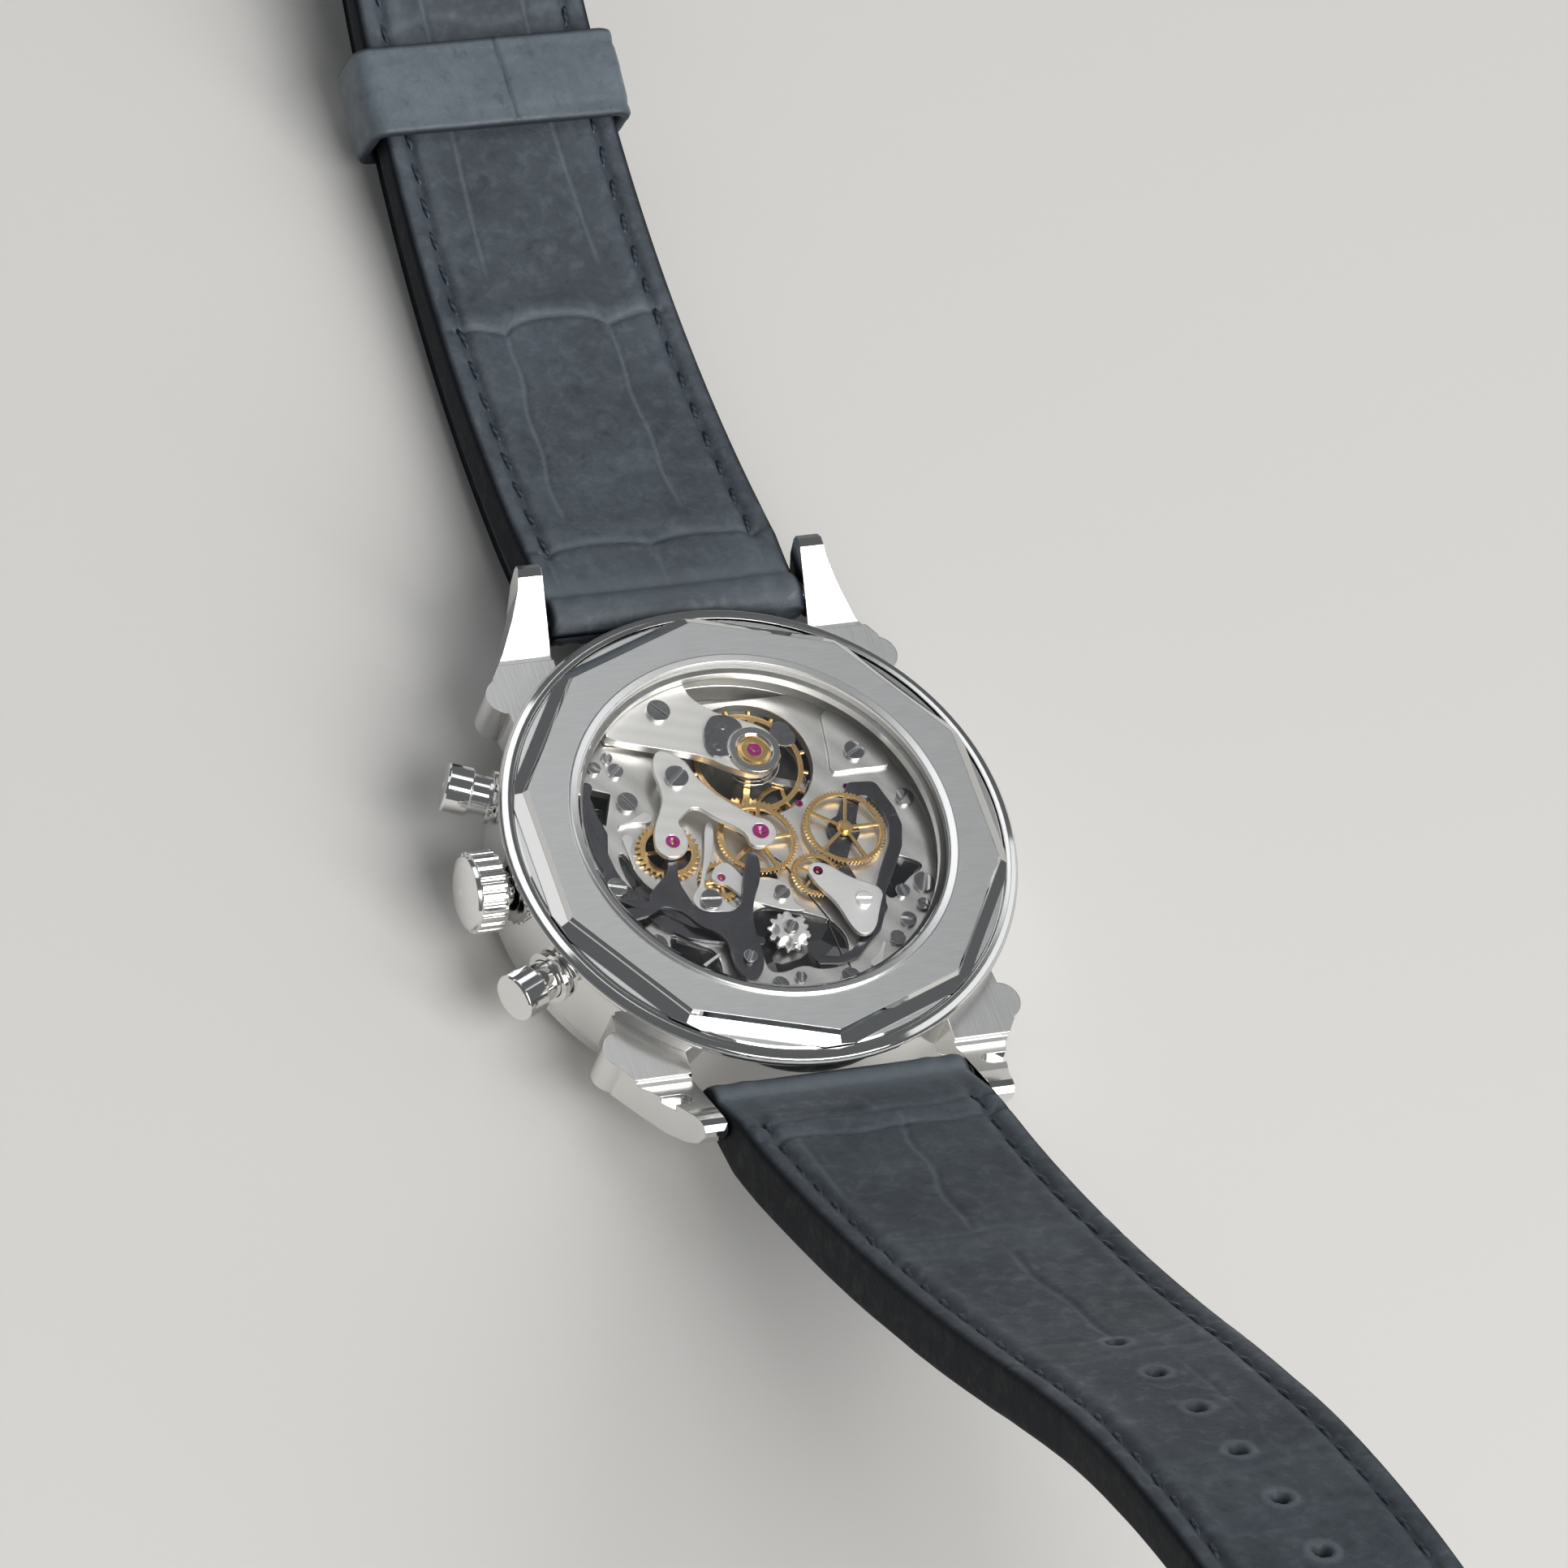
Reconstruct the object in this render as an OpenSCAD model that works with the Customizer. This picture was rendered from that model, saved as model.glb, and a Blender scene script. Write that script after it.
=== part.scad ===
// Wrist chronograph lying on its crystal, with its see-through caseback up.
// +Y points to 12 o'clock (the buckle side of the strap), -X to the crown.
// The origin is the centre of the crystal's flat face, which rests on the floor.

/* [Case] */
// Widest diameter of the case, over the polished rim
case_d = 38.5; // [38:0.1:39.5]
// Height of the caseback's decagonal face above the crystal's face
back_h = 10.7; // [10.6:0.1:11]
// Width across the decagon's flats
decagon_w = 33.2; // [32.6:0.1:33.6]
// Clear width between the lugs
lug_gap = 20.2; // [20:0.1:20.6]
// Diameter of the window in the caseback
window_d = 27.4; // [27:0.1:27.6]

/* [Crown and pushers] */
// Diameter of the crown
crown_d = 5.9; // [5.4:0.1:6.4]
// Number of flutes round the crown
crown_flutes = 22; // [16:1:28]
// Diameter of a pusher's cap
pusher_d = 3.6; // [3.2:0.1:4]
// Angle of each pusher from the crown
pusher_angle = 23.5; // [22:0.5:25]

/* [Movement] */
// Diameter of the movement
movement_d = 27.5; // [27.3:0.1:27.8]
// Diameter of the balance over its screws
balance_d = 9; // [8.4:0.1:9.2]

/* [Strap] */
// Width of the strap between the lugs
strap_w = 19.8; // [19.2:0.1:19.8]
// Width of the strap at the buckle
buckle_w = 17.8; // [17:0.1:18]
// Width of the pointed half past its taper
tail_w = 17; // [16:0.1:17.4]
// Thickness of the strap's padding near the lugs
pad_t = 4.4; // [4:0.1:4.6]

/* [Hidden] */

$fn = 64;
e = 0.02;
running = 0.05;
seam = 0.002;

// Colours
STEEL = [0.72, 0.72, 0.72];
RHODIUM = [0.78, 0.78, 0.76];
DARK = [0.28, 0.29, 0.31];
GILT = [0.86, 0.66, 0.34];
RUBY = [0.62, 0.04, 0.28];
LEATHER = [0.22, 0.27, 0.32];
RUBBER = [0.06, 0.06, 0.06];
GLASS = [0.85, 0.92, 0.95, 0.35];
SILVER = [0.85, 0.85, 0.83];

// Case radii and heights
rim_r = case_d / 2;
side_r = rim_r - 0.45;
cavity_r = 16.6;
back_bore_r = 18.3;
case_z = 2.6;
back_seat_z = back_h - 1.85;
rim_z = back_h - 1.15;
flange_z = back_h - 0.95;
axis_z = back_h - 4.8;
window_r = window_d / 2;
crystal_r = 15.9;
crystal_t = 1.5;

// Levels of the movement, from the dial up
dial_z = 3.1;
dial_t = 0.4;
plate_z = 4;
plate_top = 5.3;
bridge_z = 6.8;
bridge_top = 7.6;
lever_z = 7.65;
lever_t = 0.3;
wheel_z = 8.05;
wheel_t = 0.22;
hammer_z = 8.36;
blade_z = 8;
cock_z = 8;
cock_top = 8.75;
top_z = 8.8;
top_t = 0.4;
movement_r = movement_d / 2;
bridge_r = movement_r - 0.25;

// Arbor centres, seen from the caseback
CENTRE = [0, 0];
SECONDS = [6.8, 0];
MINUTES = [-6.8, 0];
COUPLING = [3.45, -3.55];
INTERMEDIATE = [-3.7, -2.9];
BALANCE = [1.7, 6.9];
THIRD = [4.3, 2.8];
ESCAPE = [8.3, 3.75];
PALLET = [6.1, 5.1];
BARREL = [-4, -5.75];
COLUMN = [0.1, -7.8];
HAMMER = [-3.8, -9.9];
OPERATING = [-11.6, -2.6];
BRAKE = [-5.1, -4.7];
COCK_SCREW = [-4.5, 11.1];
BRIDGE_SCREW = [-5, 5.2];
COUPLING_SCREW = [6.1, -6.4];
YOKE_SCREW = [0.5, -4.6];
MINUTE_POST = [-2.2, -4.35];
TRAIN_SCREW = [9.6, 6.4];
PUSH_R = 13.2;
arbor_r = 0.2;

// Screws on the bridges: x, y, radius of the head
PLATE_SCREWS = [[-8.7, 7.2, 0.6], [-9, 8.35, 0.42], [-8.6, 4.5, 0.8], [-10.2, 7.6, 0.5],
    [12.3, 2.2, 0.7], [11.5, -5, 0.8], [10.9, -6.8, 0.5], [9.7, -5.5, 0.55], [9.4, -7.9, 0.6],
    [8.1, -9.3, 0.6], [3.6, -12, 0.75], [-1.8, -11.9, 0.65], [-0.1, -11.5, 0.45], [-9.9, -7.4, 0.8]];
screw_shank_r = 0.35;
screw_head_t = 0.26;

// Spring bars and strap
bar_y = 20.8;
bar_z = back_h - 3.4;
bar_r = 0.9;
roll_r = 1.75;

// Lengths and bends of the strap's arcs, from the spring bar outwards
BUCKLE_ARCS = [[8, 10], [12, 7], [14, 8], [14, 8], [10, 5], [17, -17]];
HOLE_ARCS = [[18, 8], [18, 5], [12, 3], [10, -3], [10, -7], [10, -5], [36, -20]];
BUCKLE_START = -21;
HOLE_START = 27;
buckle_len = 75;
hole_len = 114;
arc_steps = 3;
tip_t = 2.8;
hole_pitch = 6.3;
first_hole = 47.8;
hole_count = 8;
strap_hole_r = 0.9;
keeper_at = 48.5;
keeper_len = 7.4;
keeper_wall = 0.9;
fixed_keeper_at = 64.5;
fixed_keeper_len = 6;
frame_bar_r = 0.75;
tang_w = 1.6;

// A point on a plane circle
function polar(r, a) = [r * cos(a), r * sin(a)];
// The unit vector across a line from p to q
function across(p, q) = [q[1] - p[1], p[0] - q[0]] / norm(q - p);
// The outline of a wheel with n teeth
function teeth(r, depth, n) = [for (i = [0 : n - 1], k = [0 : 3])
    polar(k == 1 || k == 2 ? r : r - depth, (i + [0, 0.28, 0.5, 0.78][k]) * 360 / n)];
// The heading after the first arcs of a chain
function heading(arcs, start, i) = i == 0 ? start : heading(arcs, start, i - 1) + arcs[i - 1][1];
// The step along one arc of length l that turns by b from heading h
function chord(l, h, b) = l * sin(abs(b) / 2 + 0.00001) / ((abs(b) / 2 + 0.00001) * PI / 180)
    * [cos(h + b / 2), sin(h + b / 2)];
// A station of a chain of arcs: position, heading and distance along it
function station(arcs, start, s, i = 0, at = [0, 0], gone = 0) =
    (i == len(arcs) - 1 || s <= gone + arcs[i][0])
    ? let (l = s - gone, h = heading(arcs, start, i), b = arcs[i][1] * l / arcs[i][0])
        [at + chord(l, h, b), h + b]
    : station(arcs, start, s, i + 1,
        at + chord(arcs[i][0], heading(arcs, start, i), arcs[i][1]), gone + arcs[i][0]);
// Half the strap's thickness at a distance from its spring bar
function half_t(s, l) = s < 5 ? 1.2 + (pad_t / 2 - 1.2) * s / 5
    : pad_t / 2 + (tip_t - pad_t) / 2 * (s - 5) / (l - 5);
// A point off the strap's middle line
function off(st, d) = st[0] + d * [-sin(st[1]), cos(st[1])];

// A closed outline with its corners cut n times
function smooth(p, n = 2) = n == 0 ? p : smooth([for (i = [0 : len(p) - 1], k = [0.25, 0.75])
    p[i] + k * (p[(i + 1) % len(p)] - p[i])], n - 1);

// A straight limb with round ends
module limb(p, q, r1, r2) {
    n = across(p, q);
    polygon([p + n * r1, q + n * r2, q - n * r2, p - n * r1]);
    translate(p) circle(r = r1, $fn = 28);
    translate(q) circle(r = r2, $fn = 28);
}

// A chain of limbs through points that each give x, y and half width
module chain(points) {
    offset(delta = seam)
        for (i = [0 : len(points) - 2])
            limb([points[i][0], points[i][1]], [points[i + 1][0], points[i + 1][1]],
                points[i][2], points[i + 1][2]);
}

// A crossed-out wheel
module wheel_shape(r, depth, n, spokes, rim, hub, spoke_w) {
    difference() {
        polygon(teeth(r, depth, n));
        difference() {
            circle(r = r - depth - rim, $fn = 48);
            circle(r = hub, $fn = 28);
            for (i = [0 : spokes - 1])
                rotate(i * 360 / spokes) translate([0, -spoke_w / 2]) square([r, spoke_w]);
        }
    }
}

// A vertical rod from one height to another
module rod(at, r, z0, z1) {
    translate([at[0], at[1], z0]) cylinder(r = r, h = z1 - z0);
}

// A flat plate from a plane shape
module slab(z, t) {
    translate([0, 0, z]) linear_extrude(height = t) children();
}

// Something that lies along the radius at angle a and the height of the crown
module radial(a) {
    translate([0, 0, axis_z]) rotate([0, 0, a]) rotate([0, 90, 0]) children();
}

// A slotted screw whose head sits at height z
module screw(x, y, r, z, depth) {
    translate([x, y, z]) difference() {
        cylinder(r = r, h = screw_head_t);
        rotate(x * 70 + y * 40) translate([-r, -0.09, screw_head_t - 0.12]) cube([2 * r, 0.18, 0.2]);
    }
    translate([x, y, z - depth]) cylinder(r = screw_shank_r, h = depth + e);
}

/* ---- case ---- */

// Side view of one lug, along +Y
module lug_side() {
    polygon([[11, 3.7], [15.5, 3.8], [18.5, 4.25], [20.8, 5.2], [22.6, 6.7], [23.8, 8.4], [24.15, 9.7],
        [24.05, 10.25], [23.6, 10.5], [23, 10.3], [20.6, 8.75], [18.9, 7.65], [18.1, 7.1], [17.75, 7.1],
        [17.6, back_h - 3.3], [11, back_h - 3.3]]);
}

// Plan of the lug at +X and +Y
module lug_plan() {
    polygon([[lug_gap / 2, 12], [lug_gap / 2, 24.2], [11.8, 24.2], [12.1, 22.3], [12.8, 20.5],
        [13.8, 18.5], [15.1, 16.6], [14.6, 12.2]]);
    translate([14.55, 15]) circle(r = 1.5, $fn = 48);
}

module lugs() {
    for (sx = [0, 1], sy = [0, 1])
        mirror([sx, 0, 0]) mirror([0, sy, 0]) intersection() {
            translate([0, 0, 3]) linear_extrude(height = back_h) lug_plan();
            translate([5, 0, 0]) rotate([90, 0, 90]) linear_extrude(height = 14) lug_side();
        }
}

// A rounded slot across the ramp of each lug on the long half's side
module lug_pockets() {
    for (sx = [0, 1])
        mirror([sx, 0, 0]) mirror([0, 1, 0])
            translate([0, 20.1, 8.43]) rotate([33, 0, 0]) translate([0, 0, -0.55]) {
                translate([11.9, 0, 0]) cylinder(r = 0.75, h = 3, $fn = 40);
                translate([11.9, -0.75, 0]) cube([4, 1.5, 3]);
            }
}

module case_middle() {
    color(STEEL) difference() {
        union() {
            rotate_extrude($fn = 180) polygon([[cavity_r - 0.4, case_z], [side_r - 0.5, case_z],
                [side_r, case_z + 0.5], [side_r, rim_z - 0.95], [rim_r - 0.15, rim_z - 0.8],
                [rim_r, rim_z - 0.5], [rim_r, rim_z - 0.25], [rim_r - 0.2, rim_z],
                [rim_r - 0.6, rim_z + 0.12], [back_bore_r + 0.04, rim_z + 0.1],
                [cavity_r - 0.4, rim_z + 0.1]]);
            lugs();
        }
        translate([0, 0, case_z - 1]) cylinder(r = cavity_r, h = 12);
        translate([0, 0, back_seat_z]) cylinder(r = back_bore_r, h = 5);
        radial(180) translate([0, 0, 14]) cylinder(r = 1.3, h = 6);
        for (s = [-1, 1])
            radial(180 + s * pusher_angle) translate([0, 0, 14]) cylinder(r = 1.7, h = 8);
        lug_pockets();
        for (s = [-1, 1])
            translate([-lug_gap / 2 - 0.9, s * bar_y, bar_z]) rotate([0, 90, 0])
                cylinder(r = 0.4, h = lug_gap + 1.8, $fn = 32);
    }
}

module bezel() {
    color(STEEL) rotate_extrude($fn = 180)
        polygon([[crystal_r + 0.25, 0.6], [16.5, 0.45], [16.9, 0.55], [17.3, 0.95], [17.8, 1.35],
            [18.5, 1.7], [18.55, case_z], [crystal_r - 0.7, case_z], [crystal_r - 0.7, crystal_t],
            [crystal_r + 0.25, crystal_t]]);
}

module front_crystal() {
    color(GLASS) rotate_extrude($fn = 180)
        polygon([[0, 0], [crystal_r - 0.6, 0], [crystal_r, 0.4], [crystal_r, crystal_t], [0, crystal_t]]);
}

// The crystal's ring, the caseback glass's ring and the caseback's own ring
module seal_rings() {
    color(RUBBER) {
        rotate_extrude($fn = 120)
            translate([crystal_r, 0.7]) square([0.25, crystal_t - 0.7]);
        rotate_extrude($fn = 120)
            translate([window_r, back_h - 1.15]) square([0.12, 1]);
        rotate_extrude($fn = 120)
            translate([17.2, back_seat_z]) square([0.6, 0.4]);
    }
}

module flange_ring() {
    color(SILVER) rotate_extrude($fn = 120)
        polygon([[crystal_r - 0.75, crystal_t + e], [crystal_r - 0.7, dial_z], [14.75, dial_z]]);
}

module dial() {
    color(SILVER) difference() {
        translate([0, 0, dial_z]) cylinder(r = 16.2, h = dial_t, $fn = 120);
        for (p = [CENTRE, SECONDS, MINUTES])
            rod(p, p == CENTRE ? 0.95 : 0.4, 0, 5);
        for (p = [SECONDS, MINUTES])
            translate([p[0], p[1], dial_z - e])
                rotate_extrude($fn = 90) translate([0.5, 0]) square([3.9, 0.1]);
    }
}

// Applied batons, doubled at 12
module hour_markers() {
    color(GILT) for (i = [0 : 11])
        if (i != 0 && i != 6)
            rotate(i * 30) translate([i == 3 ? -0.8 : -0.25, 0, 0])
                for (d = i == 3 ? [0, 1.1] : [0])
                    translate([d, 11.6, dial_z - 0.25]) cube([0.5, 2.4, 0.25]);
}

// The decagonal boss, as five crossed beams with bevelled flanks
module decagon() {
    foot = decagon_w / 2 + 1.05;
    top = decagon_w / 2;
    intersection_for(k = [0 : 4])
        rotate([0, 0, 1.2 + 36 * k]) rotate([90, 0, 0]) translate([0, 0, -25])
            linear_extrude(height = 50)
                polygon([[-foot, flange_z - 0.3], [foot, flange_z - 0.3], [foot, flange_z],
                    [top + 0.22, back_h - 0.42], [top + 0.16, back_h - 0.3], [top, back_h],
                    [-top, back_h], [-top - 0.16, back_h - 0.3], [-top - 0.22, back_h - 0.42],
                    [-foot, flange_z]]);
}

module caseback() {
    color(STEEL) difference() {
        union() {
            rotate_extrude($fn = 180)
                polygon([[12.8, back_seat_z], [back_bore_r - 0.08, back_seat_z],
                    [back_bore_r - 0.08, flange_z - 0.22], [back_bore_r - 0.25, flange_z - 0.08],
                    [17, flange_z], [12.8, flange_z]]);
            intersection() {
                decagon();
                cylinder(r = back_bore_r - 0.08, h = 2 * back_h, $fn = 180);
            }
            rotate_extrude($fn = 180)
                polygon([[13, back_h - 0.4], [window_r + 0.72, back_h - 0.4], [window_r + 0.72, back_h + 0.12],
                    [window_r + 0.6, back_h + 0.22], [window_r + 0.12, back_h + 0.06], [13, back_h + 0.06]]);
            rotate_extrude($fn = 120)
                translate([15.6, back_seat_z - 1]) square([cavity_r - 15.6 - 0.05, 1 + e]);
        }
        translate([0, 0, back_h - 1.15]) cylinder(r = window_r + 0.12, h = 5, $fn = 120);
        translate([0, 0, 5]) cylinder(r = 13.25, h = 6, $fn = 120);
        rotate_extrude($fn = 120) translate([17.2, back_seat_z - e]) square([0.6, 0.4 + e]);
    }
}

module caseback_glass() {
    color(GLASS) translate([0, 0, back_h - 1.15]) rotate_extrude($fn = 120)
        polygon([[0, 0], [window_r, 0], [window_r, 1.05], [window_r - 0.12, 1.15], [0, 1.15]]);
}

// Tubes pressed into the case for the crown and the two pushers
module case_tubes() {
    color(STEEL) {
        radial(180) difference() {
            translate([0, 0, 16.62]) cylinder(r = 1.3, h = 3.6);
            cylinder(r = 0.6, h = 30);
        }
        for (s = [-1, 1])
            radial(180 + s * pusher_angle) difference() {
                union() {
                    translate([0, 0, 16.62]) cylinder(r = 1.7, h = 2.6);
                    translate([0, 0, 18.95]) cylinder(r = 1.95, h = 0.4);
                }
                cylinder(r = 0.75, h = 30);
                translate([0, 0, 17]) cylinder(r = 1.5, h = 5);
            }
    }
}

module spring_bars() {
    color(STEEL) for (s = [-1, 1])
        translate([0, s * bar_y, bar_z]) rotate([0, 90, 0]) {
            translate([0, 0, 0.15 - lug_gap / 2]) cylinder(r = bar_r, h = lug_gap - 0.3);
            translate([0, 0, -lug_gap / 2 - 0.8]) cylinder(r = 0.4, h = lug_gap + 1.6, $fn = 32);
        }
}

/* ---- crown and pushers ---- */

module crown_gasket() {
    color(RUBBER) radial(180) difference() {
        translate([0, 0, 19.75]) cylinder(r = 1.7, h = 0.35);
        cylinder(r = 1.3 + running, h = 30);
    }
}

module crown() {
    r = crown_d / 2;
    color(STEEL) radial(180) difference() {
        union() {
            translate([0, 0, 19.5]) linear_extrude(height = 1.9) difference() {
                circle(r = r, $fn = 96);
                for (i = [0 : crown_flutes - 1])
                    rotate(i * 360 / crown_flutes) translate([r + 0.08, 0]) circle(r = 0.28, $fn = 16);
            }
            translate([0, 0, 21.4]) rotate_extrude($fn = 96)
                polygon([[0, 0], [r - 0.25, 0], [r - 0.32, 0.3], [r - 0.9, 0.5], [r - 1.8, 0.62], [0, 0.68]]);
            translate([0, 0, 19.3]) cylinder(r = r - 0.45, h = 0.21);
        }
        cylinder(r = 1.75, h = 20.5);
        cylinder(r = 0.5, h = 21);
    }
}

module winding_stem() {
    color(STEEL) radial(180) {
        translate([0, 0, 9.6]) cylinder(r = 0.5, h = 11.4);
        translate([0, 0, 10.4]) linear_extrude(height = 1.1) polygon(teeth(0.82, 0.14, 14));
        translate([0, 0, 11.9]) linear_extrude(height = 0.9) polygon(teeth(0.82, 0.14, 14));
    }
}

module pusher() {
    r = pusher_d / 2;
    rotate_extrude()
        polygon([[0, 13.72], [0.65, 13.72], [0.65, 18], [1.45, 18], [1.45, 20.7], [r - 0.08, 20.7],
            [r, 20.8], [r, 22.45], [r - 0.12, 22.6], [0, 22.68]]);
}

module pusher_start() {
    color(STEEL) radial(180 - pusher_angle) pusher();
}

module pusher_reset() {
    color(STEEL) radial(180 + pusher_angle) pusher();
}

/* ---- plates and bridges ---- */

module movement_ring() {
    color(RHODIUM) difference() {
        rotate_extrude($fn = 120)
            translate([movement_r + 0.02, dial_z + dial_t]) square([cavity_r - movement_r - 0.04, 3.6]);
        radial(180) cylinder(r = 0.9, h = 20);
        for (s = [-1, 1])
            radial(180 + s * pusher_angle) cylinder(r = 0.75, h = 20);
    }
}

// Notches where the pushers meet the levers
module push_notches(z0) {
    for (s = [-1, 1])
        rotate(180 + s * pusher_angle) translate([10.9, s > 0 ? -1.6 : -1.2, z0]) cube([4, 2.8, 5]);
}

module main_plate() {
    color(RHODIUM) difference() {
        translate([0, 0, plate_z]) cylinder(r = movement_r, h = plate_top - plate_z, $fn = 120);
        rod(CENTRE, 0.55, 0, 9);
        for (p = [SECONDS, MINUTES])
            rod(p, 0.3, 0, 9);
        rod(BALANCE, 4.8, 5, 9);
        rod(BALANCE, 0.3, 4.4, 9);
        translate([-15, -1.2, 4.9]) cube([5.8, 2.4, 3]);
        push_notches(plate_z + 0.9);
    }
}

// The split between the two bridges runs down beside the balance
module left_half() {
    polygon([[-20, 20], [-2, 20], [-2, 2], [1.5, -2], [3.5, -7], [4.6, -20], [-20, -20]]);
}

module bridge_bores() {
    rod(CENTRE, 0.55, 6, 9);
    for (p = [SECONDS, MINUTES])
        rod(p, 0.3, 6, 9);
    rod(BALANCE, balance_d / 2 + 0.25, 6, 9);
    for (s = PLATE_SCREWS)
        rod(s, screw_shank_r, 6, 9);
    push_notches(bridge_z - 1);
    rod(BRIDGE_SCREW, screw_shank_r, 6, 9);
    rod(YOKE_SCREW, screw_shank_r, 6, 9);
}

// Ground on which the cock's foot stands
module cock_foot() {
    intersection() {
        circle(r = bridge_r, $fn = 120);
        polygon([[-8.8, 9.5], [-5.4, 8.8], [-3.6, 9.6], [-2.6, 11.2], [-1.7, 12], [-2.1, 14], [-7.1, 14],
            [-8.9, 9.9]]);
    }
}

// Blackened pockets milled into the bridges round the column wheel and beside the levers
module bridge_pockets() {
    slab(bridge_top - 0.45, 1) {
        polygon(smooth([[-2.9, -6.4], [-1.3, -5.2], [0.5, -5.6], [2.4, -6.4], [3.9, -7.2], [4.6, -9],
            [3.6, -10.9], [1.6, -11], [0.6, -10.4], [-1.2, -10.9], [-2.3, -10.6], [-2.2, -8.4]]));
        polygon(smooth([[-8.6, -6.3], [-6.9, -7.7], [-5.6, -8.3], [-5.5, -10.2], [-6.4, -11.3], [-8.2, -9.9],
            [-9, -8.6]]));
        polygon(smooth([[-10.6, 0.4], [-9.9, 0.5], [-9.5, -2], [-8.1, -3.6], [-8.6, -4.8], [-9.7, -4],
            [-10.5, -1.8]]));
        polygon(smooth([[9.4, -2.2], [10.9, -2.6], [12.3, -3.6], [10.4, -4.4], [8.9, -6.2], [8.2, -5.2]]));
        polygon(smooth([[-2.6, -3.6], [-0.9, -3.9], [0.4, -3.8], [1, -2.6], [-0.6, -2], [-2.2, -2.5]]));
        translate(MINUTES) circle(r = 2.1, $fn = 48);
    }
}

module barrel_bridge() {
    color(RHODIUM) difference() {
        union() {
            slab(bridge_z, bridge_top - bridge_z) difference() {
                intersection() {
                    circle(r = bridge_r, $fn = 120);
                    left_half();
                }
                offset(delta = 0.08) cock_foot();
            }
            rod(BRAKE, 0.52, bridge_top - e, blade_z - 0.03);
        }
        bridge_bores();
        bridge_pockets();
        rod(BARREL, 0.45, 6, 9);
        rod(HAMMER, screw_shank_r, 6, 9);
        rod(OPERATING, screw_shank_r, 6, 9);
        rod(COLUMN, screw_shank_r, 6, 9);
        rod(BRAKE, screw_shank_r, 6, 9);
    }
}

module train_bridge() {
    color(RHODIUM) difference() {
        union() {
            slab(bridge_z, bridge_top - bridge_z) intersection() {
                circle(r = bridge_r, $fn = 120);
                difference() {
                    translate([-5, -14]) square([20, 26]);
                    offset(delta = 0.12) left_half();
                }
            }
            slab(bridge_top - e, 0.3 + e) polygon(smooth([[8.1, 9.9], [8.7, 10.3], [10.1, 9], [11.5, 7],
                [12.3, 5], [11.1, 4.85], [9.2, 4.95], [7.3, 4.8], [7.7, 6.4], [7.9, 8.2]]));
        }
        bridge_bores();
        bridge_pockets();
        rod(TRAIN_SCREW, screw_shank_r, 6, 9);
        rod(THIRD, 0.28, 6, 9);
        rod(ESCAPE, 0.28, 6, 9);
        rod(SECONDS, 0.45, bridge_top - 0.25, 9);
    }
}

module chronograph_bridge() {
    color(RHODIUM) {
        difference() {
            slab(top_z, top_t) offset(delta = seam) {
                polygon(smooth([[-5.6, 7.9], [-6.5, 6.5], [-6.3, 4], [-6.9, 2.7], [-7.7, 1.5], [-8.1, 0.4],
                    [-8.2, -0.6], [-7.4, -1.4], [-6.1, -1.1], [-5.6, -0.2], [-5.7, 0.9], [-6, 1.5],
                    [-5.4, 2.1], [-4.2, 2.8], [-3, 1.5], [-1.5, 0.4], [-1.1, -0.3], [-1.1, -1.1],
                    [0, -1.4], [1.1, -0.4], [1.1, 0.5], [0.3, 1], [-1.2, 2.2], [-2.7, 3.8],
                    [-3.5, 5.2], [-3.9, 6.7]]));
                translate(CENTRE) circle(r = 1.15, $fn = 48);
                translate(MINUTES) circle(r = 1.1, $fn = 48);
            }
            rod(CENTRE, 0.62, 8, 10);
            rod(MINUTES, 0.52, 8, 10);
            rod(BRIDGE_SCREW, screw_shank_r, 8, 10);
        }
        difference() {
            rod(BRIDGE_SCREW, 1.05, bridge_top, top_z + e);
            rod(BRIDGE_SCREW, screw_shank_r, 7, 10);
        }
        rod([-5.2, 6.95], 0.42, bridge_top, top_z + e);
    }
}

// Small jewelled bridge over the intermediate wheel, and the yoke it stands on
module minute_bridge() {
    color(RHODIUM) {
        difference() {
            slab(lever_z - 0.04, lever_t) polygon(smooth([[-3, -4.1], [-1.7, -3.5], [-0.6, -2.9], [1.1, -3.6],
                [1.5, -4.5], [1.2, -5.4], [2, -6.1], [1.4, -6.2], [0.2, -5.9], [-1, -5.3], [-1.9, -4.9],
                [-3, -4.9]]));
            rod(YOKE_SCREW, screw_shank_r, 7, 10);
            rod(INTERMEDIATE, 1.75, 7, 10);
        }
        rod(MINUTE_POST, 0.36, lever_z, blade_z + e);
        difference() {
            slab(blade_z, lever_t) polygon(smooth([[-3.9, -1.9], [-2.9, -1.6], [-2.3, -2.6], [-1.9, -3.6],
                [-1.6, -4.4], [-2.2, -5], [-2.9, -4.3], [-3.4, -3.6], [-4.2, -3.2], [-4.5, -2.8]]));
            rod(INTERMEDIATE, 0.3, 7, 10);
        }
    }
}

module balance_cock() {
    color(RHODIUM) difference() {
        union() {
            slab(plate_top, cock_top - plate_top) cock_foot();
            slab(cock_z, cock_top - cock_z) {
                cock_foot();
                polygon(smooth([[-8.9, 9.3], [-8.9, 10], [-7.1, 11.8], [-5, 12.8], [-2.2, 13.1], [-1.4, 11.6],
                    [-0.1, 10.4], [1.5, 9.7], [3.3, 8.7], [3.9, 7], [3, 5.4], [1.5, 4.9], [-0.7, 5.9],
                    [-2.2, 7.1], [-5.5, 8.1]]));
            }
        }
        rod(BALANCE, 0.75, 7, 10);
        rod(COCK_SCREW, screw_shank_r, 6, 10);
    }
}

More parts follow.
